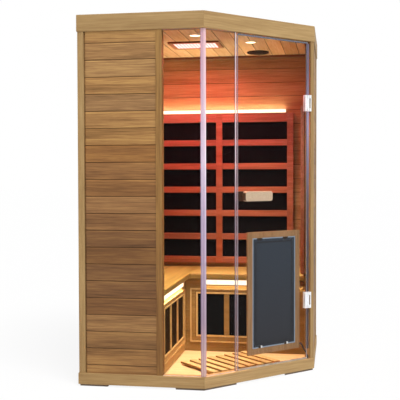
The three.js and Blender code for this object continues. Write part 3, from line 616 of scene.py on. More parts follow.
slate = speckled("slate_powder_coat", "#222C39", "#2A3543", grit=3 * MM, rough=0.5)
# A painted reflection darkens the panel towards its foot
slate_low, slate_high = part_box("door_heater_panel")
slate_height = height_of(slate.node_tree)
slate_reflection_fade = ranged(slate.node_tree, slate_height, SLATE_REFLECTION_FOOT, 0.0, slate_low.z, slate_high.z)
lay_over(slate, slate_reflection_fade, "#1D191D")
dress(slate, "door_heater_panel")
print("chrome, rubber, steel, beech and slate assigned")

# %% [markdown]
# The heaters are carbon film, matt black with a faint row of conductor stripes 14 mm apart. They could
# be thin meshes, but they are printed and have no height, so the finish draws them: a wave along one
# axis, blurred by a broad mottle. The film under the left bench stands in the warm light of its strip
# and looks brown.

# %% Carbon film
STRIPE_PITCH = 14 * MM
MOTTLE = 20 * MM
MOTTLE_SHARE = 0.4
FILM_STOPS = (0.15, 0.5)


def carbon_film(name, stripe_axis, dark="#040609", pale="#0E1116"):
    """Matt black film; conductor stripes repeat along one axis."""
    material, tree, shader = new_finish(name)
    place = place_of(tree)
    level = add(tree, "ShaderNodeSeparateXYZ", (place,), output=stripe_axis)
    count = maths(tree, "MULTIPLY", level, 1 / STRIPE_PITCH)
    wave = maths(tree, "PINGPONG", count, 0.5)
    mottle = add(tree, "ShaderNodeTexNoise", {"Vector": place, "Scale": 1 / MOTTLE, "Detail": 3.0})
    mixed = blended(tree, MOTTLE_SHARE, wave, mottle)
    colour = add(tree, "ShaderNodeValToRGB", {"Fac": mixed}, zip(FILM_STOPS, (dark, pale)))
    fill(shader, {"Base Color": colour, "Roughness": 0.7, "Specular IOR Level": 0.08})
    return material


dress(carbon_film("carbon_film_lengthways", "X"), "wall_heater_back", "bench_heater_back")
dress(carbon_film("carbon_film_crossways", "Y"), "wall_heater_left", "wall_heater_right")
dress(carbon_film("carbon_film_side", "Y", "#1C1209", "#302011"), "bench_heater_left")
print("carbon film with stripes every", STRIPE_PITCH / MM, "mm")

# %% [markdown]
# The lit pieces are frosted plastic over small lamps. They glow by themselves, so their shaders emit;
# a soft unevenness along the strip keeps them from looking like flat white paint. A downlight glows
# only in its lens, so its finish measures the distance from the disc's middle. In the same way the
# strip under the back bench ends in a brown cap 55 mm long, which stays dark. The light that all of
# them throw on the wood comes from lamps near the end of this script, which Blender samples with far
# less noise than a glowing mesh.

# %% Lit diffusers
LENS_RADIUS = 29 * MM
STRIP_CAP = 55 * MM
EVERYWHERE = 99.0
# The glow of a strip: its tone, its strength and the size of its patches
STRIP_GLOW = ("#FFEED2", 1.7, 30 * MM)


def lit_diffuser(name, body_tone, glow_tone, strength, spot, middle=(0, 0, 0), reach=EVERYWHERE):
    """Frosted plastic that glows within reach of a middle, in patches as large as a spot."""
    material, tree, shader = new_finish(name)
    place = place_of(tree)
    patch = add(tree, "ShaderNodeTexNoise", {"Vector": place, "Scale": 1 / spot, "Detail": 1.0})
    power = ranged(tree, patch, strength * UNEVEN[0], strength * UNEVEN[1])
    away = vector_maths(tree, "DISTANCE", place, middle)
    within = maths(tree, "LESS_THAN", away, reach)
    glow = maths(tree, "MULTIPLY", power, within)
    fill(shader, {"Base Color": linear(body_tone), "Roughness": 0.45, "Emission Color": linear(glow_tone),
                  "Emission Strength": glow})
    return material


strip_glow = lit_diffuser("frosted_strip_warm", "#FFF1D6", *STRIP_GLOW)
dress(strip_glow, "wall_light_back", "wall_light_left", "bench_light_left")
strip_low, strip_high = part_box("bench_light_back")
strip_start = (strip_low.x, (strip_low.y + strip_high.y) / 2, (strip_low.z + strip_high.z) / 2)
lit_run = strip_high.x - strip_low.x - STRIP_CAP
capped_glow = lit_diffuser("frosted_strip_capped", "#8A6238", *STRIP_GLOW, strip_start, lit_run)
dress(capped_glow, "bench_light_back")
for side in ("left", "right"):
    disc_middle = sum(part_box("downlight_" + side), Vector()) / 2
    lens_glow = lit_diffuser("frosted_lens_" + side, "#E8CFA2", "#FFF3D0", strength=2.4, spot=20 * MM,
                             middle=tuple(disc_middle), reach=LENS_RADIUS)
    dress(lens_glow, "downlight_" + side)
print("strips and lenses lit, back bench strip over", round(lit_run, 3), "m")

# %% [markdown]
# New pieces are built in mesh code. Small builders collect boxes, drawn-out sections or turned
# profiles in any of the measuring frames, and one function hands the result over as a finished piece:
# at the origin, with its place in its vertices, riding on its body and taking the finish it is given.

# %% Handing a piece over


def mesh_of(work):
    """Turns finished mesh work into a plain mesh."""
    mesh = bpy.data.meshes.new("piece")
    work.to_mesh(mesh)
    work.free()
    return mesh


def hand_over(name, mesh, material, body, slot, *replaced):
    """Links a finished mesh into the scene as a piece riding on its body, and hides the nodes it replaces.
    """
    mesh.name = name
    mesh.materials.clear()
    mesh.materials.append(material)
    piece = bpy.data.objects.new(name, mesh)
    bpy.context.scene.collection.objects.link(piece)
    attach(piece, body)
    if replaced:
        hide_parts(*replaced)


# %% Mesh builders
BEVEL_STEPS = 2
MERGE = 1e-6


def ease_edges(work, ease):
    """Rounds every edge a little, as a plane or a mould does."""
    bmesh.ops.bevel(work, geom=work.edges[:], offset=ease, segments=BEVEL_STEPS, affect="EDGES",
                    profile=0.5)


def boxes_mesh(boxes, basis=plain_frame, ease=0.0):
    """One mesh of boxes, each given as its lowest and highest corner in the basis, with eased edges."""
    work = bmesh.new()
    for low, high in boxes:
        low, high = Vector(low), Vector(high)
        size = Matrix.Diagonal((*(high - low), 1))
        bmesh.ops.create_cube(work, size=1, matrix=basis @ Matrix.Translation((low + high) / 2) @ size)
    if ease:
        ease_edges(work, ease)
    return mesh_of(work)


def ring_boxes(low, high, width):
    """Four boxes that frame a rectangle of X and Z, inside its edges; Y runs through their depth."""
    left, near, bottom = low
    right, far, top = high
    return [
        ((left, near, bottom), (right, far, bottom + width)),
        ((left, near, top - width), (right, far, top)),
        ((left, near, bottom + width), (left + width, far, top - width)),
        ((right - width, near, bottom + width), (right, far, top - width)),
    ]


def drawn_mesh(sections, basis):
    """Closed outlines in the basis X and Y, each drawn out between two Z levels, with faces turned out."""
    work = bmesh.new()
    for outline, low, high in sections:
        ends = [[work.verts.new(basis @ Vector((x, y, z))) for x, y in outline] for z in (low, high)]
        work.faces.new(reversed(ends[0]))
        work.faces.new(ends[1])
        for i in range(len(outline)):
            j = (i + 1) % len(outline)
            work.faces.new((ends[0][i], ends[0][j], ends[1][j], ends[1][i]))
    bmesh.ops.recalc_face_normals(work, faces=work.faces)
    return mesh_of(work)


def turned_mesh(profile, place, axis, steps=24):
    """A round mesh; the profile lists (height, radius) in mm, from axis to axis or as a closed loop."""
    work = bmesh.new()
    line = [work.verts.new((radius * MM, 0, height * MM)) for height, radius in profile]
    edges = [work.edges.new(pair) for pair in zip(line, line[1:])]
    bmesh.ops.spin(work, geom=line + edges, cent=(0, 0, 0), axis=up, angle=2 * math.pi, steps=steps)
    bmesh.ops.remove_doubles(work, verts=work.verts, dist=MERGE)
    bmesh.ops.recalc_face_normals(work, faces=work.faces)
    turn_to_axis = up.rotation_difference(axis).to_matrix().to_4x4()
    bmesh.ops.transform(work, matrix=Matrix.Translation(place) @ turn_to_axis, verts=work.verts)
    return mesh_of(work)


print("builders ready")

# %% [markdown]
# What repeats is left to Geometry Nodes: slats, holes, lamps and screws. A tree is made once, with
# named inputs for its sizes, and runs as a modifier on a helper object. Its inputs are set by the
# sockets' identifiers. It always ends by making the instances real and giving them their finish, and
# the result becomes a plain mesh before it is handed over, because instances are lost on export.

# %% Node tree helpers


def new_tree(name, inputs):
    """A Geometry Nodes tree with inputs listed by name and kind, and the sockets that give them."""
    tree = bpy.data.node_groups.new(name, "GeometryNodeTree")
    for label, kind in inputs.items():
        tree.interface.new_socket(name=label, in_out="INPUT", socket_type="NodeSocket" + kind)
    tree.interface.new_socket(name="Result", in_out="OUTPUT", socket_type="NodeSocketGeometry")
    return tree, add(tree, "NodeGroupInput").node.outputs


def end_tree(tree, geometry, finish):
    """Makes instances real, gives them their finish and hands them out of the tree."""
    real = add(tree, "GeometryNodeRealizeInstances", (geometry,))
    finished = add(tree, "GeometryNodeSetMaterial", {"Geometry": real, "Material": finish})
    add(tree, "NodeGroupOutput", (finished,))
    print(tree.name, "tree with", len(tree.nodes), "nodes")


def grown_mesh(tree, values, base=None):
    """Runs a tree on a helper object and returns the result as a plain mesh."""
    host = bpy.data.objects.new("host", base or bpy.data.meshes.new("host"))
    bpy.context.scene.collection.objects.link(host)
    modifier = host.modifiers.new("grow", "NODES")
    modifier.node_group = tree
    sockets = {item.name: item.identifier for item in tree.interface.items_tree if item.in_out == "INPUT"}
    for label, value in values.items():
        modifier[sockets[label]] = value
    depsgraph = bpy.context.evaluated_depsgraph_get()
    mesh = bpy.data.meshes.new_from_object(host.evaluated_get(depsgraph), preserve_all_data_layers=True,
                                           depsgraph=depsgraph)
    host.modifiers.remove(modifier)
    bpy.data.objects.remove(host)
    return mesh


print("tree helpers ready")

# %% [markdown]
# A wall heater stands behind a slatted guard: stiles at the bays' ends, a rail above and below, and five
# slats in every bay. The rule is simple: a line of slat blocks is repeated along a line of bays, and
# stiles and rails join them. Every block stores its own number, which the cedar reads to give each
# slat its own tone.

# %% Guard node tree
BOARD_NUMBER = "board"
row_numbers = {"slat": 1.0, "stile": 11.0, "bottom": 23.0, "top": 29.0}


def guard_tree():
    vectors = ["Slat step", "Bay step", "First bay"]
    vectors += [first + row for row in row_numbers for first in ("First ", "Size of ")]
    inputs = dict.fromkeys(vectors, "Vector") | dict.fromkeys(("Bays", "Slats", "Stiles"), "Int")
    tree, given = new_tree("slatted_guard", inputs | {"Finish": "Material"})

    def numbered_row(row, count, step):
        """Blocks along a line; each stores its own number."""
        line = add(tree, "GeometryNodeMeshLine", {"Count": given[count], "Offset": given[step],
                                                  "Start Location": given["First " + row]})
        block = add(tree, "GeometryNodeMeshCube", {"Size": given["Size of " + row]})
        blocks = add(tree, "GeometryNodeInstanceOnPoints", {"Points": line, "Instance": block})
        index = add(tree, "GeometryNodeInputIndex")
        number = maths(tree, "MULTIPLY_ADD", index, row_numbers[row], row_numbers[row])
        return add(tree, "GeometryNodeStoreNamedAttribute",
                   {"Geometry": blocks, "Name": BOARD_NUMBER, "Value": number}, domain="INSTANCE",
                   data_type="FLOAT")

    slats = add(tree, "GeometryNodeRealizeInstances", (numbered_row("slat", "Slats", "Slat step"),))
    bay_line = add(tree, "GeometryNodeMeshLine", {"Count": given["Bays"], "Offset": given["Bay step"],
                                                  "Start Location": given["First bay"]})
    parts = [add(tree, "GeometryNodeInstanceOnPoints", {"Points": bay_line, "Instance": slats})]
    for row, count in (("stile", "Stiles"), ("bottom", "Bays"), ("top", "Bays")):
        parts.append(numbered_row(row, count, "Bay step"))
    whole = add(tree, "GeometryNodeJoinGeometry")
    for part in parts:
        tree.links.new(part, whole.node.inputs[0])
    end_tree(tree, whole, given["Finish"])
    return tree


slatted_guard = guard_tree()

# %% [markdown]
# The two long walls have guards of two bays, and the short right wall has one bay. The sizes come from
# the box of the imported guard that each piece replaces. The edges are eased on the finished mesh, so
# that every slat catches a thin line of light. A tint by height paints the light that falls on the
# wood: browner near the benches and paler higher up.

# %% Guards on three walls
GUARD_STILE = 40 * MM
GUARD_SLAT = 39 * MM
GUARD_BOTTOM = 40 * MM
GUARD_TOP = 55 * MM
GUARD_SLATS = 5
LONG_BAYS, SHORT_BAYS = 2, 1
GUARD_EASE = 1.6 * MM
GUARD_SPREAD = 0.14
guard_tones = ("#9B6D53", "#B9876A", "#D09F84")
# Tints by height: painted light, browner near the benches and paler higher up
guard_light_tints = [(0.7, "#DAAC90"), (1.2, "#FFF4F0"), (1.42, "#E6E6EC")]

guard_low, guard_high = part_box("heater_guard_back")
guard_thickness = guard_high.y - guard_low.y
guard_height = guard_high.z - guard_low.z
guard_field = guard_height - GUARD_BOTTOM - GUARD_TOP
guard_gap = (guard_field - GUARD_SLATS * GUARD_SLAT) / (GUARD_SLATS + 1)
guard_bay = (guard_high.x - guard_low.x - (LONG_BAYS + 1) * GUARD_STILE) / LONG_BAYS
guard_middle = guard_thickness / 2
bay_middle = GUARD_STILE + guard_bay / 2
guard_sizes = {
    "Slat step": (0.0, 0.0, GUARD_SLAT + guard_gap),
    "Bay step": (guard_bay + GUARD_STILE, 0.0, 0.0),
    "First bay": (bay_middle, guard_middle, 0.0),
    "First slat": (0.0, 0.0, GUARD_BOTTOM + guard_gap + GUARD_SLAT / 2),
    "Size of slat": (guard_bay, guard_thickness, GUARD_SLAT),
    "First stile": (GUARD_STILE / 2, guard_middle, guard_height / 2),
    "Size of stile": (GUARD_STILE, guard_thickness, guard_height),
    "First bottom": (bay_middle, guard_middle, GUARD_BOTTOM / 2),
    "Size of bottom": (guard_bay, guard_thickness, GUARD_BOTTOM),
    "First top": (bay_middle, guard_middle, guard_height - GUARD_TOP / 2),
    "Size of top": (guard_bay, guard_thickness, GUARD_TOP),
    "Slats": GUARD_SLATS,
}
guard_places = {
    "heater_guard_back": (LONG_BAYS, "x", 78.0, along_back, along_left),
    "heater_guard_left": (LONG_BAYS, "y", 78.0, along_left, along_back),
    "heater_guard_right": (SHORT_BAYS, "y", 79.0, along_left, along_back),
}
for node, (bays, grain, seed, along, depth) in guard_places.items():
    finish = cedar("cedar_" + node, guard_tones, grain, seed, GUARD_SPREAD, attribute=BOARD_NUMBER,
                   heights=guard_light_tints)
    sizes = guard_sizes | {"Bays": bays, "Stiles": bays + 1, "Finish": finish}
    guard_mesh = grown_mesh(slatted_guard, sizes)
    guard_mesh.transform(frame_of(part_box(node)[0], along, depth))
    work = bmesh.new()
    work.from_mesh(guard_mesh)
    ease_edges(work, GUARD_EASE)
    bmesh.ops.recalc_face_normals(work, faces=work.faces)
    work.to_mesh(guard_mesh)
    work.free()
    hand_over("slatted_" + node, guard_mesh, finish, "cabin", "lining_cedar", node)
    print(node, "as", bays, "bays,", len(guard_mesh.polygons), "faces")

# %% [markdown]
# Where the lining meets the ceiling, a small cornice hides the gap and draws a dark line round the
# room; its dark tone is painted shade. It could be one mitred loop; three butted strips with eased
# edges look the same from inside and are simpler.

# %% Ceiling cornice
FIT = 0.3 * MM
CORNICE = 13 * MM
CORNICE_EASE = 2 * MM
# Dark tones: painted shade along the ceiling's edge
cornice_shade_tones = ("#5E3B24", "#75492C", "#875736")
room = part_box("wall_back")[0].y
cornice_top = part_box("ceiling_panel")[0].z - FIT
cornice_low = cornice_top - CORNICE
cornice_end = room - CORNICE - FIT
cornice_runs = [
    ((FIT - room, room - CORNICE, cornice_low), (room - FIT, room - FIT, cornice_top)),
    ((FIT - room, FIT - room, cornice_low), (CORNICE - room, cornice_end, cornice_top)),
    ((room - CORNICE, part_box("wall_right")[0].y, cornice_low), (room - FIT, cornice_end, cornice_top)),
]
cornice_shade_wood = cedar("cedar_cornice", cornice_shade_tones, "x", seed=71.0, spread=TRIM_SPREAD)
cornice = boxes_mesh(cornice_runs, ease=CORNICE_EASE)
hand_over("ceiling_cornice", cornice, cornice_shade_wood, "cabin", "lining_cedar")
print("cornice in", len(cornice_runs), "runs at z", round(cornice_low, 4))

# %% [markdown]
# The glass door carries vinyl on three edges: a bulb that fills the gap to the hinge post, a grey cap
# along the top, and a pale sweep over the sill. Each is a channel pushed over the pane, so it is drawn
# as a section with two lips and run along the edge. The bulb stops at the hinges, and stays close to
# the hinge axis so that it can turn there. The fixed pane beside the door has a narrow bright lip on
# its strike seal.

# %% Door seals
LIP = 1.2 * MM
LIP_REACH = 3 * MM
BULB_REACH = 11 * MM
CABLE_CLEAR = 55 * MM
HINGE_CLEAR = 2 * MM
CAP_RISE = 4.2 * MM
SWEEP_REACH = 4 * MM
SWEEP_ENDS = (1 * MM, 2 * MM)
TRIM_CLEAR = 0.1 * MM
outer_slot, inner_slot = door_low.y - FIT, door_high.y + FIT
outer_lip, inner_lip = outer_slot - LIP, inner_slot + LIP


def channel(opening, slot, back):
    """The section of a channel over the pane's edge: where it opens, where its slot ends and its back."""
    return [(opening, outer_lip), (back, outer_lip), (back, inner_lip), (opening, inner_lip),
            (opening, inner_slot), (slot, inner_slot), (slot, outer_slot), (opening, outer_slot)]


levels = [door_low.z + CABLE_CLEAR]
for place in ("lower", "upper"):
    hinge_low, hinge_high = span("hinge_" + place + "_clamp", angled_front)
    levels += [hinge_low.z - HINGE_CLEAR, hinge_high.z + HINGE_CLEAR]
levels.append(door_high.z - LIP_REACH)
bulb_outline = channel(door_high.x - LIP_REACH, door_high.x + FIT, door_high.x + BULB_REACH)
bulb_runs = [(bulb_outline, low, high) for low, high in zip(levels[::2], levels[1::2])]
hand_over("door_hinge_seal", drawn_mesh(bulb_runs, angled_front), edge_seal, "door", "clear_seal")

# The cap and the sweep lie level: X and Y of their section are up and inwards, and it runs along the front
level_edge = frame_of(near_corner, up, inwards, along_front)
grey_vinyl = speckled("grey_vinyl", "#6C7482", "#8D95A3", grit=5 * MM, rough=0.35)
cap_outline = channel(door_high.z - LIP_REACH + FIT, door_high.z + FIT, door_high.z + CAP_RISE)
cap = drawn_mesh([(cap_outline, door_low.x, door_high.x)], level_edge)
hand_over("door_top_cap", cap, grey_vinyl, "door", "clear_seal")

pale_vinyl = speckled("pale_vinyl", "#A59C8E", "#C2BAAC", grit=40 * MM, rough=0.35)
sweep_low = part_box("base_board_angled")[1].z + 2 * FIT
sweep_outline = channel(door_low.z + SWEEP_REACH, door_low.z - FIT, sweep_low)
sweep = drawn_mesh([(sweep_outline, door_low.x + SWEEP_ENDS[0], door_high.x - SWEEP_ENDS[1])], level_edge)
hand_over("door_bottom_sweep", sweep, pale_vinyl, "door", "clear_seal")

seal_low, seal_high = span("strike_seal", angled_front)
lip_low = (seal_low.x, seal_low.y - LIP, seal_low.z)
lip_high = (seal_low.x + LIP_REACH, seal_low.y - TRIM_CLEAR, seal_high.z)
strike_lip = boxes_mesh([(lip_low, lip_high)], angled_front, FIT)
hand_over("strike_seal_lip", strike_lip, lip_vinyl, "cabin", "clear_seal")
print("hinge seal in", len(bulb_runs), "runs; cap and sweep", round(door_high.x - door_low.x, 3), "m long")

# %% [markdown]
# The slate panel of the door heater sits behind a thin bright rim of brushed steel, and has a pressed
# line a little way in from its edge, dark because it lies in shadow. It is held by two bronze clips
# above and two smaller ones below, each beside a pale peg. All of it lies in the 1.8 mm between the
# panel and the glass, so these are flat strips, seen through the pane.

# %% Door heater rim, pressed line, clips and pegs
RIM_WIDTH, RIM_RISE = 6 * MM, 1.3 * MM
BRUSH_STRETCH = (1, 1, 12)
LINE_MARGIN, LINE_WIDTH, LINE_RISE = 20 * MM, 8 * MM, 0.5 * MM
CLIP_RISE = 1.7 * MM
CLIP_PLACES = (50 * MM, 234 * MM)
CLIP_HALF, CLIP_DROP = 19 * MM, 8 * MM
TONGUE_HALF, TONGUE_DROP = 11 * MM, 15 * MM
PEG_PLACES = (63 * MM, 249 * MM)
PEG_HALF, PEG_HEIGHT = 5 * MM, 12 * MM
LOW_CLIP_FROM, LOW_CLIP_TO, LOW_CLIP_HEIGHT = 22 * MM, 6 * MM, 11 * MM
panel_low, panel_high = span("door_heater_panel", angled_front)
face = panel_low.y - TRIM_CLEAR
proud = panel_low.y - CLIP_RISE


def panel_ring(margin, width, rise):
    """Four strips on the panel's face, a margin in from its edge."""
    low = (panel_low.x + margin, panel_low.y - rise, panel_low.z + margin)
    high = (panel_high.x - margin, face, panel_high.z - margin)
    return boxes_mesh(ring_boxes(low, high, width), angled_front)


rim_steel = speckled("brushed_rim_steel", "#8698AC", "#A3B3C4", grit=3 * MM, rough=0.4, metal=0.3,
                     stretch=BRUSH_STRETCH)
hand_over("heater_panel_rim", panel_ring(0, RIM_WIDTH, RIM_RISE), rim_steel, "door", "hinge_steel")
press_paint = speckled("slate_pressed_line", "#0B0D11", "#12151A", grit=3 * MM, rough=0.5)
pressed_line = panel_ring(LINE_MARGIN, LINE_WIDTH, LINE_RISE)
hand_over("heater_pressed_line", pressed_line, press_paint, "door", "slate_panel")

clip_boxes = []
peg_boxes = []
for place in CLIP_PLACES:
    middle, clip_low = panel_low.x + place, panel_high.z - CLIP_DROP
    clip_boxes.append(((middle - CLIP_HALF, proud, clip_low), (middle + CLIP_HALF, face, panel_high.z)))
    clip_boxes.append(((middle - TONGUE_HALF, proud, panel_high.z - TONGUE_DROP),
                       (middle + TONGUE_HALF, face, clip_low)))
for place in PEG_PLACES:
    middle, foot = panel_low.x + place, panel_low.z
    peg_boxes.append(((middle - PEG_HALF, proud, foot), (middle + PEG_HALF, face, foot + PEG_HEIGHT)))
    clip_boxes.append(((middle - LOW_CLIP_FROM, proud, foot),
                       (middle - LOW_CLIP_TO, face, foot + LOW_CLIP_HEIGHT)))
dark_clip = speckled("bronze_clip", "#2B2018", "#3F3025", grit=2 * MM, rough=0.4, metal=0.5)
hand_over("heater_clips", boxes_mesh(clip_boxes, angled_front), dark_clip, "door", "hinge_steel")
hand_over("heater_pegs", boxes_mesh(peg_boxes, angled_front), chrome, "door", "hinge_steel")
print("rim and line round the slate panel,", len(CLIP_PLACES), "clips and", len(PEG_PLACES), "pegs")

# %% [markdown]
# The heater's cable leaves the frame through a gland and enters the sill through a grommet on the
# hinge axis. Both are turned shapes: a profile swept once round an axis. The grommet is an open ring,
# because the cable twists in it when the door swings.

# %% Cable gland and grommet
GLAND_PROFILE = ((0, 0), (0, 7), (3, 7), (3.6, 6.2), (4, 5.4), (9, 5.2), (10, 4.4), (10, 0))
GROMMET_PROFILE = ((0, 4.6), (0, 6.8), (1.2, 6.8), (3, 5.8), (3.4, 5.2), (3, 4.6), (0, 4.6))
CABLE_END = 2 * MM
cable_low = span("door_heater_cable", angled_front)[0]
to_front = angled_front.inverted()
cable_points = [to_front @ vertex.co for vertex in nodes["door_heater_cable"].data.vertices]
exit_points = [p for p in cable_points if p.x < cable_low.x + CABLE_END]
exit_middle = sum(exit_points, Vector()) / len(exit_points)
frame_end = span("door_heater_frame", angled_front)[1].x
gland_place = angled_front @ Vector((frame_end + FIT, exit_middle.y, exit_middle.z))
gland = turned_mesh(GLAND_PROFILE, gland_place, along_front)
hand_over("heater_cable_gland", gland, rubber, "door", "cable_rubber")

sill_points = [p for p in cable_points if p.z < cable_low.z + CABLE_END]
sill_middle = sum(sill_points, Vector()) / len(sill_points)
sill_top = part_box("base_board_angled")[1].z
grommet_place = angled_front @ Vector((sill_middle.x, sill_middle.y, sill_top + FIT))
grommet = turned_mesh(GROMMET_PROFILE, grommet_place, up)
hand_over("sill_cable_grommet", grommet, rubber, "cabin", "cable_rubber")
print("gland at z", round(exit_middle.z, 3), "grommet at z", round(grommet_place.z, 3))

# %% [markdown]
# The raised frame of each bench front has a pale bead round its row of windows, partly painted
# highlight, a dark line outside that, which is a painted shadow line barely proud of the frame, and a
# pale strip along its outer edge, which is a painted highlight. Each is a ring of four strips. They are
# placed from the heater behind the windows, which is 12 mm larger than the row all round.

# %% Bench frame beads
HEATER_MORE = Vector((12 * MM, 0, 12 * MM))
# Each ring: how far it lies beyond the sides, foot and head of the row, and how wide its strips are
NEAR_BEAD = ((11 * MM, 11 * MM, 11 * MM), 10 * MM)
# A pale strip on the frame's outer edge: a painted highlight
EDGE_HIGHLIGHT = ((48 * MM, 45 * MM, 33 * MM), 8 * MM)
# A dark strip barely proud of the frame: a painted shadow line
SHADOW_LINE = ((15 * MM, 15 * MM, 15 * MM), 3.5 * MM)
BEAD_PROUD = 2.5 * MM
SHADOW_LINE_PROUD = 0.4 * MM
BEAD_EASE = 0.8 * MM
bead_highlight_tones = ("#B28C54", "#C7A267", "#D6B57B")
shadow_line_tones = ("#553A1C", "#684926", "#785731")
# Pale wood partly painted highlight; dark wood a painted shadow line
bead_highlight_wood = cedar("cedar_bead", bead_highlight_tones, "z", seed=83.0, spread=TRIM_SPREAD)
shadow_line_wood = cedar("cedar_groove", shadow_line_tones, "z", seed=89.0, spread=TRIM_SPREAD)


def bead_ring(low, high, face, proud, reach, width):
    """Strips round a row of windows; reach says how far beyond its sides, foot and head they lie."""
    side, foot, head = reach
    return ring_boxes((low.x - side, face - proud, low.z - foot),
                      (high.x + side, face - TRIM_CLEAR, high.z + head), width)


left_bench = frame_of(Vector(), along_left, -along_back)
for bench, basis in (("back", plain_frame), ("left", left_bench)):
    heater_low, heater_high = span("bench_heater_" + bench, basis)
    bench_face = span("bench_front_" + bench, basis)[0].y
    row = (heater_low + HEATER_MORE, heater_high - HEATER_MORE, bench_face)
    beads = bead_ring(*row, BEAD_PROUD, *NEAR_BEAD) + bead_ring(*row, BEAD_PROUD, *EDGE_HIGHLIGHT)
    bead_mesh = boxes_mesh(beads, basis, BEAD_EASE)
    hand_over("bench_bead_" + bench, bead_mesh, bead_highlight_wood, "cabin", "lining_cedar")
    shadow_line_mesh = boxes_mesh(bead_ring(*row, SHADOW_LINE_PROUD, *SHADOW_LINE), basis)
    hand_over("bench_groove_" + bench, shadow_line_mesh, shadow_line_wood, "cabin", "lining_cedar")
    print("beads round", bench, "windows", round(row[1].x - row[0].x, 3), "m long")

# %% [markdown]
# Small round dots come in two places: the holes of the speaker grille and the lamps of the colour
# light. A grid of points with a limit on their distance from the middle makes both, and Geometry Nodes
# put one short prism on every point. The grille is painted dark bronze, and its holes are short dull
# black prisms: painted shade for the dark inside each hole.

# %% Dot grid and speaker
DOT_SIDES = 8
DOT_FACES = DOT_SIDES + 2
HOLE_PITCH = 7.5 * MM
HOLE_RADIUS = 2.3 * MM
HOLE_DEPTH = 0.5 * MM
GRILLE_REACH = 48 * MM
SPEAKER_DISH = 3 * MM


def dot_tree():
    inputs = dict.fromkeys(("Length", "Width", "Reach", "Dot radius", "Dot depth"), "Float")
    tree, given = new_tree("dot_grid", inputs | {"Columns": "Int", "Rows": "Int", "Finish": "Material"})
    grid = add(tree, "GeometryNodeMeshGrid", {"Size X": given["Length"], "Size Y": given["Width"],
                                              "Vertices X": given["Columns"], "Vertices Y": given["Rows"]})
    place = add(tree, "GeometryNodeInputPosition")
    away = vector_maths(tree, "LENGTH", place)
    beyond = add(tree, "FunctionNodeCompare", (away, given["Reach"]), operation="GREATER_THAN")
    kept = add(tree, "GeometryNodeDeleteGeometry", {"Geometry": grid, "Selection": beyond}, domain="POINT")
    dot = add(tree, "GeometryNodeMeshCylinder", {"Vertices": DOT_SIDES, "Radius": given["Dot radius"],
                                                 "Depth": given["Dot depth"]})
    dots = add(tree, "GeometryNodeInstanceOnPoints", {"Points": kept, "Instance": dot})
    end_tree(tree, dots, given["Finish"])
    return tree


dot_grid = dot_tree()
grille_paint = speckled("bronze_grille_paint", "#110F0D", "#1C1916", grit=4 * MM, rough=0.5, metal=0.2)
dress(grille_paint, "ceiling_speaker")
# The holes' black is painted shade
hole_shade_paint = speckled("speaker_hole_black", "#0B0908", "#15110F", grit=2 * MM, rough=0.9)
hole_count = 2 * round(GRILLE_REACH / HOLE_PITCH) + 1
hole_run = (hole_count - 1) * HOLE_PITCH
holes = grown_mesh(dot_grid, {
    "Length": hole_run, "Width": hole_run, "Reach": GRILLE_REACH, "Dot radius": HOLE_RADIUS,
    "Dot depth": HOLE_DEPTH, "Columns": hole_count, "Rows": hole_count, "Finish": hole_shade_paint})
speaker_low, speaker_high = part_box("ceiling_speaker")
hole_place = (speaker_low + speaker_high) / 2
hole_place.z = speaker_low.z + SPEAKER_DISH - HOLE_DEPTH / 2
holes.transform(Matrix.Translation(hole_place))
hand_over("speaker_grille_holes", holes, hole_shade_paint, "cabin", "speaker_grille")
print(len(holes.polygons) // DOT_FACES, "grille holes")

# %% [markdown]
# The colour light is a flat brown housing in the ceiling. A paler bezel frames a frosted pink sheet,
# and rows of small white lamps shine through it. The sheet and the lamps glow; the housing's sides
# must not, so they are pieces of their own.

# %% Colour light
BEZEL = 25 * MM
BEZEL_DEPTH = 2.2 * MM
LAMP_COLUMNS, LAMP_ROWS = 13, 9
LAMP_RADIUS = 5 * MM
LAMP_DEPTH = 1.2 * MM
SHEET_HALF = 0.2 * MM
SHEET_EASE = 0.1 * MM
red_glow = lit_diffuser("frosted_panel_pink", "#FFC9CE", "#FFB4BC", strength=0.72, spot=25 * MM)
led_glow = lit_diffuser("led_lens_white", "#FFEDEE", "#FFE6E6", strength=1.05, spot=40 * MM)
bezel_paint = speckled("brown_bezel_paint", "#A87850", "#BC8C62", grit=4 * MM, rough=0.5)
dress(speckled("brown_housing_paint", "#743626", "#84442F", grit=4 * MM, rough=0.5), "colour_light")

light_low, light_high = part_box("colour_light")
light_middle = (light_low + light_high) / 2
light_size = light_high - light_low
lit_length, lit_width = light_size.x - 2 * BEZEL, light_size.y - 2 * BEZEL
leds = grown_mesh(dot_grid, {
    "Length": lit_length * (1 - 1 / LAMP_COLUMNS), "Width": lit_width * (1 - 1 / LAMP_ROWS),
    "Reach": light_size.length, "Dot radius": LAMP_RADIUS, "Dot depth": LAMP_DEPTH,
    "Columns": LAMP_COLUMNS, "Rows": LAMP_ROWS, "Finish": led_glow})
leds.transform(Matrix.Translation((light_middle.x, light_middle.y, light_low.z - LAMP_DEPTH)))
hand_over("colour_light_lamps", leds, led_glow, "cabin", "red_diffuser")

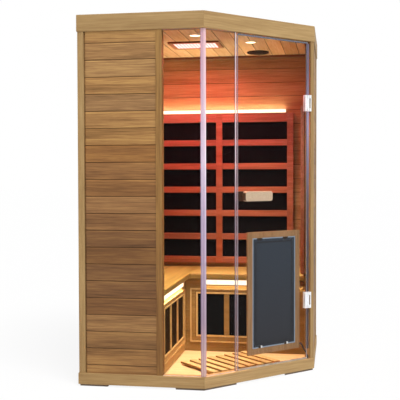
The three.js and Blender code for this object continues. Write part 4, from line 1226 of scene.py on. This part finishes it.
bezel_top = light_low.z - TRIM_CLEAR
bezel_low = bezel_top - BEZEL_DEPTH
bezel_plan = ring_boxes((light_low.x, 0, light_low.y), (light_high.x, 0, light_high.y), BEZEL)
bezel_boxes = [((low[0], low[2], bezel_low), (high[0], high[2], bezel_top)) for low, high in bezel_plan]
hand_over("colour_light_bezel", boxes_mesh(bezel_boxes), bezel_paint, "cabin", "red_diffuser")
sheet_half = Vector((lit_length / 2 - FIT, lit_width / 2 - FIT, SHEET_HALF))
sheet_middle = Vector((light_middle.x, light_middle.y, bezel_top - SHEET_HALF))
sheet = boxes_mesh([(sheet_middle - sheet_half, sheet_middle + sheet_half)], ease=SHEET_EASE)
hand_over("colour_light_diffuser", sheet, red_glow, "cabin", "red_diffuser")
print("colour light with", len(leds.polygons) // DOT_FACES, "lamps")

# %% [markdown]
# Screws hold the duckboard slats to their battens, the roof cover to its frame and the clamps of the
# hinges. One zinc-plated head, grey with a soft shine, is turned with its socket, and Geometry Nodes
# copy it to every place, tipped to a direction that is stored on the points as an attribute.

# %% Screw heads
SCREW_PROFILE = ((0, 0), (0, 3.4), (0.5, 3.6), (1.0, 3.0), (1.2, 2.1), (1.2, 1.5), (0.5, 1.3), (0.5, 0))
SCREW_STEPS = 16
SCREW_SEED = 4
SCREW_SIZES = (0.95, 1.05)


def screw_tree():
    inputs = {"Places": "Geometry", "Head": "Object", "Seed": "Int", "Finish": "Material"}
    tree, given = new_tree("screw_heads", inputs)
    aim = add(tree, "GeometryNodeInputNamedAttribute", {"Name": "aim"}, data_type="FLOAT_VECTOR")
    tipped = add(tree, "FunctionNodeAlignRotationToVector", {"Vector": aim}, axis="Z")
    head = add(tree, "GeometryNodeObjectInfo", {"Object": given["Head"]}, output="Geometry")
    least, most = SCREW_SIZES
    # Inputs 2 and 3 of a random number are its least and its most
    size = add(tree, "FunctionNodeRandomValue", {2: least, 3: most, "Seed": given["Seed"]},
               data_type="FLOAT")
    heads = add(tree, "GeometryNodeInstanceOnPoints", {"Points": given["Places"], "Instance": head,
                                                       "Rotation": tipped, "Scale": size})
    end_tree(tree, heads, given["Finish"])
    return tree


screw_heads = screw_tree()
screw_head = bpy.data.objects.new("screw_head", turned_mesh(SCREW_PROFILE, Vector(), up, SCREW_STEPS))
screw_steel = speckled("zinc_screw_steel", "#A9ABA8", "#C9CAC6", grit=2 * MM, rough=0.35, metal=0.8)


def screws(name, places, aim, body):
    """Screw heads at the listed places, all facing one way, as one piece."""
    points = bpy.data.meshes.new(name + "_points")
    points.from_pydata(places, [], [])
    aims = points.attributes.new("aim", "FLOAT_VECTOR", "POINT")
    aims.data.foreach_set("vector", list(aim) * len(places))
    mesh = grown_mesh(screw_heads, {"Head": screw_head, "Seed": SCREW_SEED, "Finish": screw_steel}, points)
    hand_over(name, mesh, screw_steel, body, "hinge_steel")
    print(name, len(places))


# %% Screws on the duckboard, the hinges and the roof
DUCK_SLATS, DUCK_PITCH, DUCK_SLAT, DUCK_BATTEN = 8, 62 * MM, 38 * MM, 52 * MM
CLAMP_ALONG, CLAMP_END = 8 * MM, 16 * MM
COVER_EDGE, COVER_PITCH = 24 * MM, 260 * MM
duck_low, duck_high = span("duckboard", angled_front)
duck_places = []
for slat in range(DUCK_SLATS):
    x = duck_low.x + DUCK_SLAT / 2 + slat * DUCK_PITCH
    for y in (duck_low.y + DUCK_BATTEN, duck_high.y - DUCK_BATTEN):
        duck_places.append(angled_front @ Vector((x, y, duck_high.z)))
screws("duckboard_screws", duck_places, up, "duckboard")

clamp_places = []
for place in ("lower", "upper"):
    clamp_low, clamp_high = span("hinge_" + place + "_clamp", angled_front)
    for z in (clamp_low.z + CLAMP_END, clamp_high.z - CLAMP_END):
        clamp_places.append(angled_front @ Vector((clamp_low.x + CLAMP_ALONG, clamp_high.y, z)))
screws("hinge_clamp_screws", clamp_places, inwards, "door")

cover_low, cover_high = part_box("roof_cover")
left, right = cover_low.x + COVER_EDGE, cover_high.x - COVER_EDGE
near, far = cover_low.y + COVER_EDGE, cover_high.y - COVER_EDGE
corner = near_corner.x - COVER_EDGE
cover_corners = ((left, near), (corner, near), (right, -corner), (right, far), (left, far))
cover_plan = [Vector(point) for point in cover_corners]
cover_places = []
for start, end in zip(cover_plan, cover_plan[1:] + cover_plan[:1]):
    count = max(2, round((end - start).length / COVER_PITCH))
    cover_places += [(*start.lerp(end, step / count), cover_high.z) for step in range(count)]
screws("roof_cover_screws", cover_places, up, "cabin")

# %% [markdown]
# The stage is a white floor that runs out of sight, and the world is a white room. Both read as plain
# white to the camera, to mirrors and through glass, but the room lights the cabin at a gentler level.
# The floor mixes in a small share of real shading, so that the cabin still throws a soft shadow.

# %% Stage and world
ROOM_LIGHT = 0.3
FLOOR_HALF = 60.0
FLOOR_SHADOW_SHARE = 0.12
WHITE = (1, 1, 1, 1)


def seen_directly(tree):
    """One where the eye, a mirror or glass sees the surface, and nought where it only gives light."""
    path = add(tree, "ShaderNodeLightPath").node.outputs
    eye, mirror, glass = [path["Is " + kind + " Ray"] for kind in ("Camera", "Glossy", "Transmission")]
    shown = maths(tree, "MAXIMUM", eye, mirror)
    return maths(tree, "MAXIMUM", shown, glass)


world = bpy.data.worlds.new("white_room")
bpy.context.scene.world = world
world.use_nodes = True
world_tree = world.node_tree
level = ranged(world_tree, seen_directly(world_tree), ROOM_LIGHT, 1.0)
fill(world_tree.nodes["Background"], {"Color": WHITE, "Strength": level})

floor_finish, floor_tree, floor_shader = new_finish("white_studio_floor")
fill(floor_shader, {"Base Color": linear("#FAFAFA"), "Roughness": 1.0, "Specular IOR Level": 0.0})
white = add(floor_tree, "ShaderNodeEmission", {"Color": WHITE, "Strength": 1.0})
share = maths(floor_tree, "MULTIPLY", seen_directly(floor_tree), 1 - FLOOR_SHADOW_SHARE)
mixed = add(floor_tree, "ShaderNodeMixShader", (share, floor_shader.outputs[0], white))
fill(floor_tree.nodes["Material Output"], {"Surface": mixed})
floor_mesh = bpy.data.meshes.new("studio_floor")
floor_corners = [(x * FLOOR_HALF, y * FLOOR_HALF, 0) for x, y in ((-1, -1), (1, -1), (1, 1), (-1, 1))]
floor_mesh.from_pydata(floor_corners, [], [(0, 1, 2, 3)])
floor_mesh.materials.append(floor_finish)
floor = bpy.data.objects.new("studio_floor", floor_mesh)
bpy.context.scene.collection.objects.link(floor)
print("floor", 2 * FLOOR_HALF, "m wide, room light", ROOM_LIGHT)

# %% [markdown]
# The main light is one high, broad, soft source from the front right: it shines on the outside and the
# floor, while the roof keeps it off the upper walls inside. A weak one in front of the eaves lifts the
# roof's edge and the top boards.

# %% Lamps outside
SKY_STRENGTH = 2.65
SKY_SPREAD = math.radians(30)
SKY_HEIGHT = math.radians(57)
SKY_SIDE = math.radians(38)
SKY_AWAY = 6
EAVES_WATTS = 8.0
EAVES_SIZE = (1.6, 0.8)
eaves_place = Vector((-0.2, -2.4, 2.9))
eaves_aim = Vector((-0.2, -0.6, 1.75))


def place_lamp(data, place, towards):
    """Puts a lamp where the camera doesn't see it, turned towards a point."""
    made = bpy.data.objects.new(data.name, data)
    made.location = place
    made.rotation_mode = "QUATERNION"
    made.rotation_quaternion = (towards - place).to_track_quat("-Z", "Y")
    made.visible_camera = False
    bpy.context.scene.collection.objects.link(made)


def lamp(name, place, towards, size, colour, watts, spread=math.pi):
    """A soft rectangular lamp."""
    data = bpy.data.lights.new(name, "AREA")
    data.shape = "RECTANGLE"
    data.size, data.size_y = size
    data.color = linear(colour)[:3]
    data.energy = watts
    data.spread = spread
    place_lamp(data, place, towards)


sky = bpy.data.lights.new("high_softbox", "SUN")
sky.energy = SKY_STRENGTH
sky.angle = SKY_SPREAD
sky_level = Vector((math.sin(SKY_SIDE), -math.cos(SKY_SIDE), 0)) * math.cos(SKY_HEIGHT)
place_lamp(sky, sky_level * SKY_AWAY + up * SKY_AWAY * math.sin(SKY_HEIGHT), Vector())
lamp("eaves_softbox", eaves_place, eaves_aim, EAVES_SIZE, "#FFFFFF", EAVES_WATTS)
print("softboxes:", len(bpy.data.lights))

# %% [markdown]
# The inside has its own lamps: red under the colour light, warm under the downlights, and a warm wash
# from every light strip. A weak lamp at chest height shines up, for the light that the benches throw
# back to the ceiling. Light linking keeps all of these off the studio floor: their spill would tint
# the white that the eye sees, and light the base boards from below.

# %% Lamps inside
LAMP_CLEAR = 4 * MM
WASH_OUT = 18 * MM
WASH_LEAN = 0.3
BENCH_OUT = 8 * MM
STRIP_WIDTH = 8 * MM
SPOT_SIZE = (50 * MM, 50 * MM)
RED_WATTS, SPOT_WATTS, WASH_WATTS, BOUNCE_WATTS = 13.0, 5.6, 0.82, 0.8
BENCH_WATTS = {"back": 0.5, "left": 1.0}
RED_SPREAD, SPOT_SPREAD, BOUNCE_SPREAD = math.radians(170), math.radians(80), math.radians(70)
BOUNCE_SIZE = (0.6, 0.5)
bounce_place = Vector((-0.08, 0.25, 1.3))
red_place = Vector((light_middle.x, light_middle.y, light_low.z - LAMP_CLEAR))
lamp("red_panel_lamp", red_place, red_place - up, (lit_length, lit_width), "#FF4C56", RED_WATTS, RED_SPREAD)
for side in ("left", "right"):
    disc_low, disc_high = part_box("downlight_" + side)
    spot_place = (disc_low + disc_high) / 2
    spot_place.z = disc_low.z - LAMP_CLEAR
    lamp("downlight_lamp_" + side, spot_place, spot_place - up, SPOT_SIZE, "#FFEBC4", SPOT_WATTS,
         SPOT_SPREAD)
lamp("ceiling_bounce", bounce_place, bounce_place + up, BOUNCE_SIZE, "#FFE6B8", BOUNCE_WATTS, BOUNCE_SPREAD)
for wall, out in (("back", -along_left), ("left", along_back)):
    strip_low, strip_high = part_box("wall_light_" + wall)
    wash_place = (strip_low + strip_high) / 2 + out * WASH_OUT
    wash_place.z = strip_high.z + LAMP_CLEAR
    wash_size = (max((strip_high - strip_low).xy), STRIP_WIDTH)
    wash_aim = wash_place + up - out * WASH_LEAN
    lamp("wall_wash_" + wall, wash_place, wash_aim, wash_size, "#FFF6DC", WASH_WATTS)
    strip_low, strip_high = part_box("bench_light_" + wall)
    glow_place = (strip_low + strip_high) / 2 + out * BENCH_OUT
    glow_place.z = strip_low.z - LAMP_CLEAR
    length = max((strip_high - strip_low).xy)
    glow_size = (length, STRIP_WIDTH) if wall == "back" else (STRIP_WIDTH, length)
    lamp("bench_wash_" + wall, glow_place, glow_place - up, glow_size, "#FFE8BC", BENCH_WATTS[wall])

outside = bpy.data.collections.new("lit_from_outside_only")
outside.objects.link(floor)
outside.collection_objects[0].light_linking.link_state = "EXCLUDE"
for light in bpy.context.scene.objects:
    if light.type == "LIGHT" and "softbox" not in light.name:
        light.light_linking.receiver_collection = outside
print("lamps:", len(bpy.data.lights))
